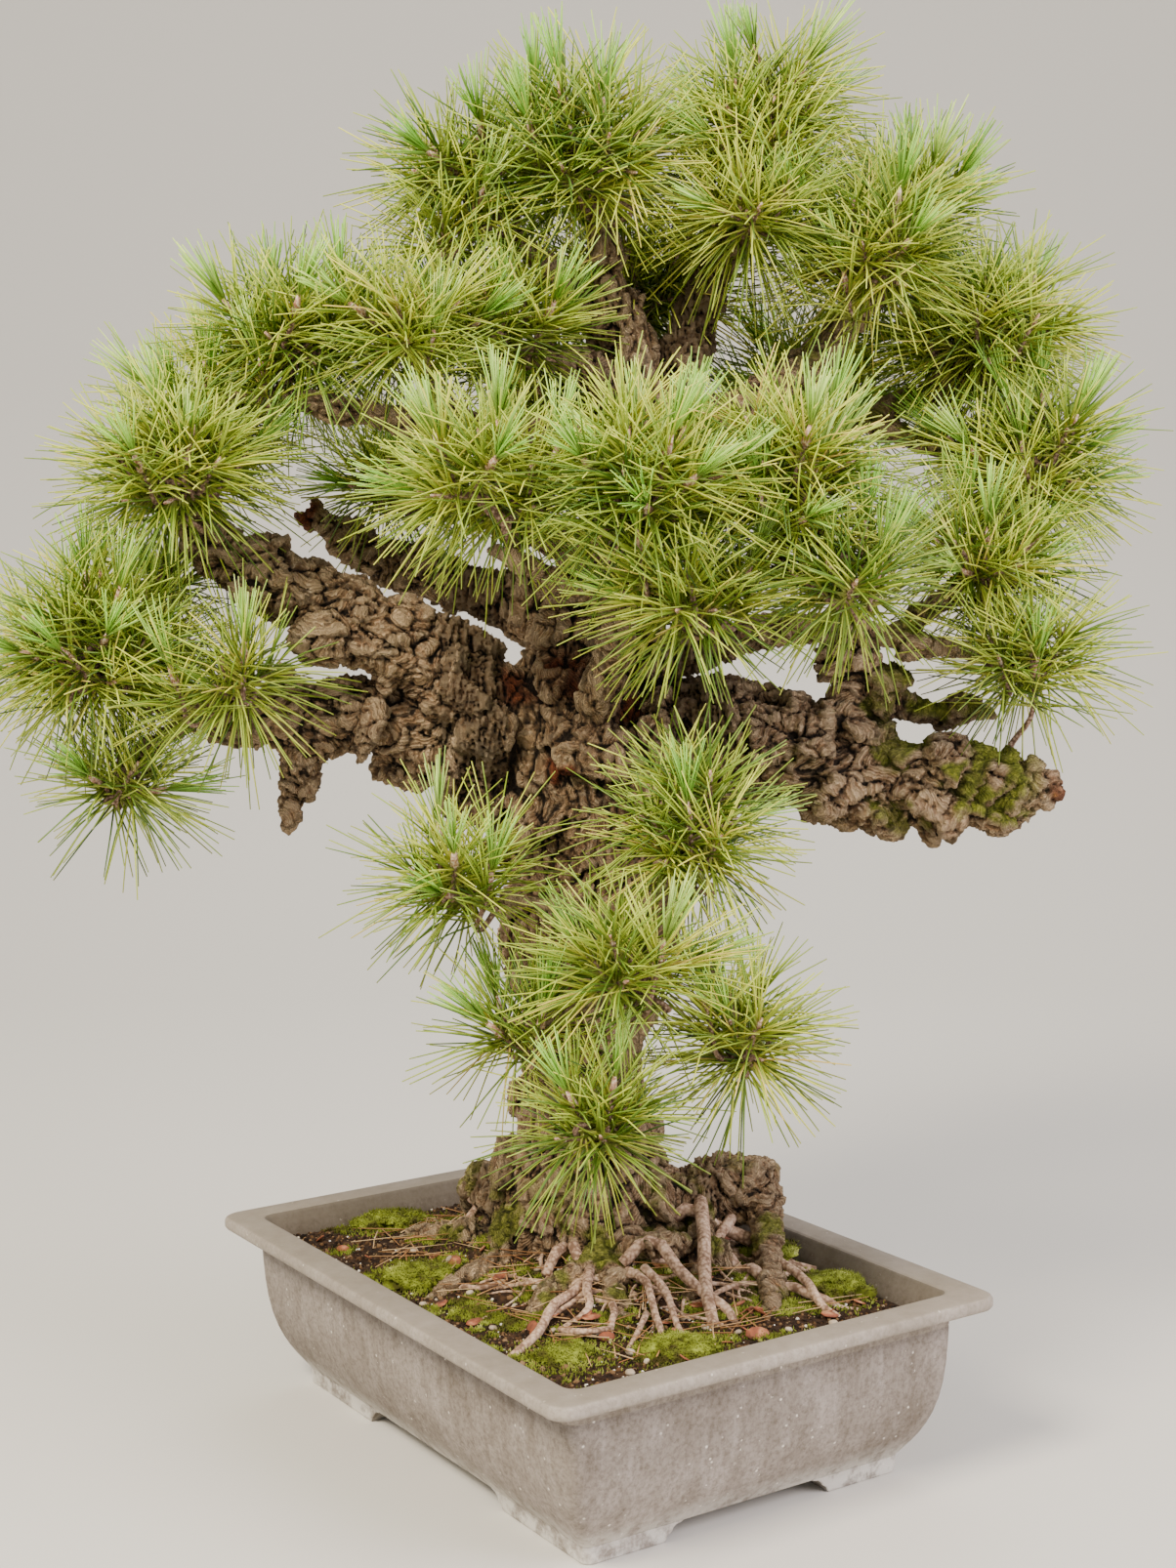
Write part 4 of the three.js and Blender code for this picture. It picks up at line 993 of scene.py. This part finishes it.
def onSoil(x, y):  # the soil's surface under a place (mm), or None under wood or outside
    hit = bedTree.ray_cast(potCentre + Vector((x * mm, y * mm, dropHeight * mm)), -up)
    if hit[0] is None or hit[1].z < 0.3:
        return None, None
    above = woodTree.ray_cast(hit[0] + up * 0.5 * mm, up, 12 * mm)
    return (None, None) if above[0] is not None else (hit[0], hit[1])


def scatter(count, margin, wanted=None):  # places and normals over the bed
    found = []
    for _ in range(count * 5):
        x = groundRandom.uniform(-1, 1) * (potSize.x / 2 / mm - margin)
        y = groundRandom.uniform(-1, 1) * (potSize.y / 2 / mm - margin)
        if wanted and not wanted(x, y):
            continue
        spot, normal = onSoil(x, y)
        if spot is not None:
            found.append((spot, normal))
        if len(found) == count:
            break
    return found


bm = bmesh.new()
bmesh.ops.create_icosphere(bm, subdivisions=1, radius=0.5)
for vert in bm.verts:
    vert.co *= 0.85 + 0.3 * noise.random()
grainShape = template(bm)
grainPaint, tree, shader, place = newMaterial("loose soil grains",
                                              {"Roughness": 0.95, "Specular IOR Level": 0.2})
kind = addNode(tree, "ShaderNodeUVMap", {"uv_map": "kind"})
kind = addNode(tree, "ShaderNodeSeparateXYZ", None, {0: kind.outputs[0]})
grainColour = addNode(tree, "ShaderNodeValToRGB", None, {"Fac": kind.outputs["X"]},
                      [(0.0, "#150D08"), (0.45, "#2F2015"), (0.72, "#5A4129"), (0.9, "#7A5E40"),
                       (0.955, "#8E7656"), (0.97, "#D9D2C4"), (1.0, "#EFEBE2")])
tree.links.new(grainColour.outputs["Color"], shader.inputs["Base Color"])
found = scatter(ground["grains"], ground["margins"]["grains"])
count = len(found)
sizes = groundRandom.uniform(1.4, 4.2, count) * np.where(groundRandom.random(count) < 0.06, 1.7, 1)
addPiece("soil_grains", copies("soil_grains", grainShape, [spot[:] for spot, _ in found],
                               groundRandom.normal(size=(count, 3)), sizes * mm * 0.8, sizes * mm,
                               np.zeros((count, 3)), groundRandom.random((count, 3))), grainPaint)

# pebbles: beige and grey river grit
bm = bmesh.new()
bmesh.ops.create_icosphere(bm, subdivisions=2, radius=0.5)
for vert in bm.verts:
    vert.co *= 0.92 + 0.16 * noise.noise(vert.co * 3)
pebbleShape = template(bm)
pebblePaint, tree, shader, place = newMaterial("beige pebble", {"Roughness": 0.7, "Specular IOR Level": 0.35})
pebbleNoise = addNode(tree, "ShaderNodeTexNoise", {"Scale": 90, "Detail": 5}, {"Vector": place})
pebbleColour = addNode(tree, "ShaderNodeValToRGB", None, {"Fac": pebbleNoise.outputs["Fac"]},
                       [(0.35, "#8C7B66"), (0.55, "#BBAA92"), (0.7, "#DDD2C0")])
tree.links.new(pebbleColour.outputs["Color"], shader.inputs["Base Color"])
found = scatter(ground["pebbles"], ground["margins"]["pebbles"])
count = len(found)
sizes = groundRandom.uniform(4.5, 10, count)
addPiece("pebbles", copies("pebbles", pebbleShape, [(spot + up * 1 * mm)[:] for spot, _ in found],
                           [(normal + Vector(groundRandom.normal(0, 0.2, 3)))[:] for _, normal in found],
                           sizes * mm * 0.6, sizes * mm), pebblePaint)

# moss: low cushions where the CAD part has them, and sprigs over them and in patches on the soil
mossPaint, tree, shader, place = newMaterial("damp cushion moss",
                                             {"Roughness": 0.9, "Specular IOR Level": 0.2})
patchy = addNode(tree, "ShaderNodeTexNoise", {"Scale": 45, "Detail": 5, "Roughness": 0.7}, {"Vector": place})
mossColour = addNode(tree, "ShaderNodeValToRGB", None, {"Fac": patchy.outputs["Fac"]},
                     [(0.32, "#33260F"), (0.42, "#4A4A17"), (0.51, "#68721F"), (0.6, "#8A9437"),
                      (0.72, "#C2BE7A")])
bump = addNode(tree, "ShaderNodeBump", {"Strength": 0.8, "Distance": 0.0015},
               {"Height": patchy.outputs["Fac"]})
tree.links.new(mossColour.outputs["Color"], shader.inputs["Base Color"])
tree.links.new(bump.outputs["Normal"], shader.inputs["Normal"])
bm = bmesh.new()
bmesh.ops.create_cone(bm, cap_ends=True, segments=3, radius1=0.5, radius2=0, depth=1)
bmesh.ops.translate(bm, verts=bm.verts[:], vec=(0, 0, 0.4))
sprigShape = template(bm)
for name in sorted(node for node in nodes if node.startswith("moss_")):
    cushion = withModifiers(meshOf(mergedCopy(name), name),
                            ("REMESH", {"mode": "VOXEL", "voxel_size": ground["cushionVoxel"] * mm}))
    points, normals = coordinates(cushion).astype(float), vertexNormals(cushion).astype(float)
    swell = np.array([noise.fractal(Vector(p) / (9 * mm), 0.8, 2.0, 3) for p in points])
    middle = points.mean(0)
    ragged = np.array([noise.fractal(Vector((x, y, 0)) / (17 * mm), 0.9, 2.0, 3) for x, y, _ in points])
    points[:, :2] += (points[:, :2] - middle[:2]) * np.clip(ragged * 0.45 - 0.1, -0.45, 0.12)[:, None]
    points += normals * (swell * ground["cushionSwell"] * np.clip(normals[:, 2] + 0.3, 0, 1))[:, None] * mm
    cushion.vertices.foreach_set("co", points.astype(np.float32).ravel())
    cushion.update()
    addPiece(name.replace("moss", "cushion"), cushion, mossPaint, [name])
    keep = (normals[:, 2] > 0.25) & (groundRandom.random(len(points)) < 0.8)
    count = keep.sum()
    lean = normals[keep] + groundRandom.normal(0, 0.35, (count, 3))
    tall, wide = groundRandom.uniform(2, 4.5, count), groundRandom.uniform(0.9, 1.6, count)
    sprigs = copies(name, sprigShape, points[keep], lean, tall * mm, wide * mm)
    addPiece(name.replace("moss", "cushion_sprigs"), sprigs, mossPaint)
skirts = [(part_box(name)[0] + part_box(name)[1]) / 2 - potCentre for name in nodes if name.startswith("moss_")]
skirts = [(centre.x / mm, centre.y / mm) for centre in skirts]


def besideCushion(x, y):
    return min(math.hypot(x - cx, y - cy) for cx, cy in skirts) < groundRandom.normal(38, 9)


found = scatter(ground["skirtSprigs"], ground["margins"]["sprigs"], besideCushion)
found += scatter(ground["sprigs"], ground["margins"]["sprigs"],
                 lambda x, y: mossiness(x, y) + groundRandom.normal(0, 0.09) > ground["mossLimit"])
count = len(found)
tall = groundRandom.uniform(2, 5, count)
lean = np.array([normal[:] for _, normal in found]) + groundRandom.normal(0, 0.4, (count, 3))
wide = groundRandom.uniform(1.4, 2.6, count)
addPiece("moss_sprigs", copies("moss_sprigs", sprigShape, [spot[:] for spot, _ in found], lean, tall * mm,
                               wide * mm), mossPaint)
print("moss sprigs", count)

# fallen needles lying on the bed: dry, rust-brown to straw
dryPaint, tree, shader, place = newMaterial("dry fallen needle",
                                            {"Roughness": 0.7, "Specular IOR Level": 0.3})
dryKind = addNode(tree, "ShaderNodeUVMap", {"uv_map": "kind"})
dryKind = addNode(tree, "ShaderNodeSeparateXYZ", None, {0: dryKind.outputs[0]})
dryColour = addNode(tree, "ShaderNodeValToRGB", None, {"Fac": dryKind.outputs["X"]},
                    [(0.0, "#8A5A34"), (0.5, "#B98A58"), (1.0, "#D8BC90")])
tree.links.new(dryColour.outputs["Color"], shader.inputs["Base Color"])
found = scatter(ground["dryNeedles"], ground["margins"]["dryNeedles"])
count = len(found)
heading = groundRandom.uniform(0, 2 * math.pi, count)
lying = np.stack([np.cos(heading), np.sin(heading), groundRandom.uniform(-0.03, 0.06, count)], 1)
lengths = groundRandom.uniform(28, 62, count)
starts = np.array([spot[:] for spot, _ in found]) + [0, 0, 4.5 * mm] - lying * (lengths / 2)[:, None] * mm
addPiece("fallen_needles", copies("fallen_needles", needleShape, starts, lying, lengths * mm,
                                  np.full(count, 1.3 * mm), groundRandom.normal(0, 0.05, (count, 3)),
                                  groundRandom.random((count, 3))), dryPaint)

# leaf and bark flakes: brittle, red-brown, cut from a flat oval
flakePaint, tree, shader, place = newMaterial("red-brown leaf flake", {"Roughness": 0.75})
flakeNoise = addNode(tree, "ShaderNodeTexNoise", {"Scale": 110, "Detail": 4}, {"Vector": place})
flakeColour = addNode(tree, "ShaderNodeValToRGB", None, {"Fac": flakeNoise.outputs["Fac"]},
                      [(0.35, "#5A2E1C"), (0.55, "#9A5638"), (0.7, "#C08A62")])
tree.links.new(flakeColour.outputs["Color"], shader.inputs["Base Color"])
bm = bmesh.new()
bmesh.ops.create_circle(bm, cap_ends=True, segments=9, radius=0.5)
bmesh.ops.scale(bm, verts=bm.verts[:], vec=(1, 0.6, 1))
made = bmesh.ops.extrude_face_region(bm, geom=bm.faces[:])["geom"]
bmesh.ops.translate(bm, verts=[v for v in made if isinstance(v, bmesh.types.BMVert)], vec=(0, 0, 1))
flakeShape = template(bm)
found = scatter(ground["flakes"], ground["margins"]["flakes"])
count = len(found)
addPiece("leaf_flakes", copies("leaf_flakes", flakeShape, [(spot + up * 2 * mm)[:] for spot, _ in found],
                               [(normal + Vector(groundRandom.normal(0, 0.35, 3)))[:] for _, normal in found],
                               np.full(count, 0.8 * mm), groundRandom.uniform(9, 19, count) * mm),
         flakePaint)
print("litter done")

# surface roots: scaly pinkish-brown roots that spread and cross in front of the trunk
rootSettings = {"seed": 31, "stout": 7, "thin": 54}
creeping = {  # places (right, back, rise over the soil in mm) and thickness of the roots seen in front
    "arch": ([(138, -1, 14), (111, 7, 20), (80, 10, 24), (52, 2, 22), (23, -14, 16), (0, -24, 11),
              (-16, -32, 7), (-31, -59, 2)], 5.6),
    "archFork": ([(-8, -31, 7), (0, -64, 6), (-4, -93, 4), (-23, -116, 4), (-37, -153, 2),
                  (-50, -184, -4)], 4.6),
    "archSpur": ([(2, -58, 5), (6, -99, 5), (0, -126, 3), (-11, -143, -3)], 3.8),
    "span": ([(30, -54, 12), (54, -49, 13), (76, -77, 10), (93, -100, 6), (111, -120, 2),
              (116, -136, -4)], 4.8),
    "spanFork": ([(23, -68, 9), (41, -89, 8), (51, -131, 4), (58, -159, -4)], 3.6),
    "fan": ([(45, -75, 8), (63, -107, 7), (75, -140, 3), (77, -185, -4)], 3.2),
    "cross": ([(-19, -152, 2), (3, -158, 6), (22, -153, 3)], 3.2),
    "hang": ([(-96, 142, 16), (-96, 101, 14), (-101, 78, 6), (-104, 62, 0)], 4.2),
    "stub": ([(-41, 30, 10), (-33, -5, 9), (-38, -22, -2)], 5.4),
    "right": ([(155, -33, 12), (169, -77, 8), (182, -100, 2), (193, -112, -4)], 4.2),
    "dip": ([(51, -131, 4), (42, -161, 4), (32, -184, -4)], 2.4),
    "drop": ([(100, 22, 40), (96, -40, 26), (93, -92, 8), (97, -140, -4)], 6.0),
    "prop": ([(125, 41, 30), (118, 13, 24), (104, -25, 14), (90, -48, 4)], 4.6),
}
rootRandom = np.random.default_rng(rootSettings["seed"])
rootPaint, tree, shader, place = newMaterial("scaly surface root",
                                             {"Roughness": 0.88, "Specular IOR Level": 0.25})
rootCells = addNode(tree, "ShaderNodeTexVoronoi", {"Scale": 330}, {"Vector": place})
rootNoise = addNode(tree, "ShaderNodeTexNoise", {"Scale": 70, "Detail": 5}, {"Vector": place})
rootHeight = addNode(tree, "ShaderNodeMath", {"operation": "MULTIPLY_ADD", 1: 0.6},
                     {0: rootCells.outputs["Distance"], 2: rootNoise.outputs["Fac"]})
rootColour = addNode(tree, "ShaderNodeValToRGB", None, {"Fac": rootHeight.outputs["Value"]},
                     [(0.4, "#DCC4AE"), (0.7, "#BE9F86"), (1.0, "#7A5F4C")])
bump = addNode(tree, "ShaderNodeBump", {"Strength": 0.7, "Distance": 0.0007, "invert": True},
               {"Height": rootHeight.outputs["Value"]})
tree.links.new(rootColour.outputs["Color"], shader.inputs["Base Color"])
tree.links.new(bump.outputs["Normal"], shader.inputs["Normal"])


def rootStroke(right, back, heading, length, thick):  # a root creeping over the soil, dipping in at its end
    place, stroke, steps = np.array([right, back], float), [], max(4, int(length / 13))
    for step in range(steps + 1):
        share = step / steps
        flat = fromTree(place[0], place[1], 0) - potCentre
        hit = bedTree.ray_cast(potCentre + Vector((flat.x, flat.y, dropHeight * mm)), -up)
        if hit[0] is None or hit[1].z < 0.2:
            break
        radius = thick * (1 - 0.55 * share)
        rise = radius * (0.75 + 0.5 * rootRandom.random()) if share < 0.85 else -radius * 0.5
        stroke.append((hit[0] + up * rise * mm, radius))
        heading += rootRandom.normal(0, 0.24)
        place = place + np.array([math.cos(heading), math.sin(heading)]) * length / steps
    return stroke if len(stroke) > 2 else None


strokes = []
for path, thick in creeping.values():
    stroke = []
    for number, (right, back, high) in enumerate(path):
        flat = fromTree(right + rootRandom.normal(0, 3.5), back + rootRandom.normal(0, 3.5), 0) - potCentre
        hit = bedTree.ray_cast(potCentre + Vector((flat.x, flat.y, dropHeight * mm)), -up)
        if hit[0] is None or hit[1].z < 0.2:
            break
        radius = thick * (1 - 0.35 * number / len(path)) * rootRandom.uniform(0.85, 1.15)
        stroke.append((hit[0] + up * (high + radius * 0.6) * mm, radius))
    strokes.append(stroke)
for number in range(rootSettings["stout"] + rootSettings["thin"]):
    stout = number < rootSettings["stout"]
    angle = rootRandom.uniform(math.radians(-150), math.radians(25))
    reach = rootRandom.uniform(30, 60) if stout else rootRandom.uniform(45, 120)
    right, back = 40 + reach * math.cos(angle) * 1.1, 5 + reach * math.sin(angle) * 0.9
    heading = angle + rootRandom.normal(0, 0.35 if stout else 0.8)
    length = rootRandom.uniform(90, 160) if stout else rootRandom.uniform(35, 95)
    stroke = rootStroke(right, back, heading, length, rootRandom.uniform(4.2, 6.5) if stout
                        else rootRandom.uniform(1.2, 2.8))
    if stroke:
        strokes.append(stroke)
addPiece("surface_roots", curveMesh(strokes, 3), rootPaint)
print("surface roots", len(strokes))
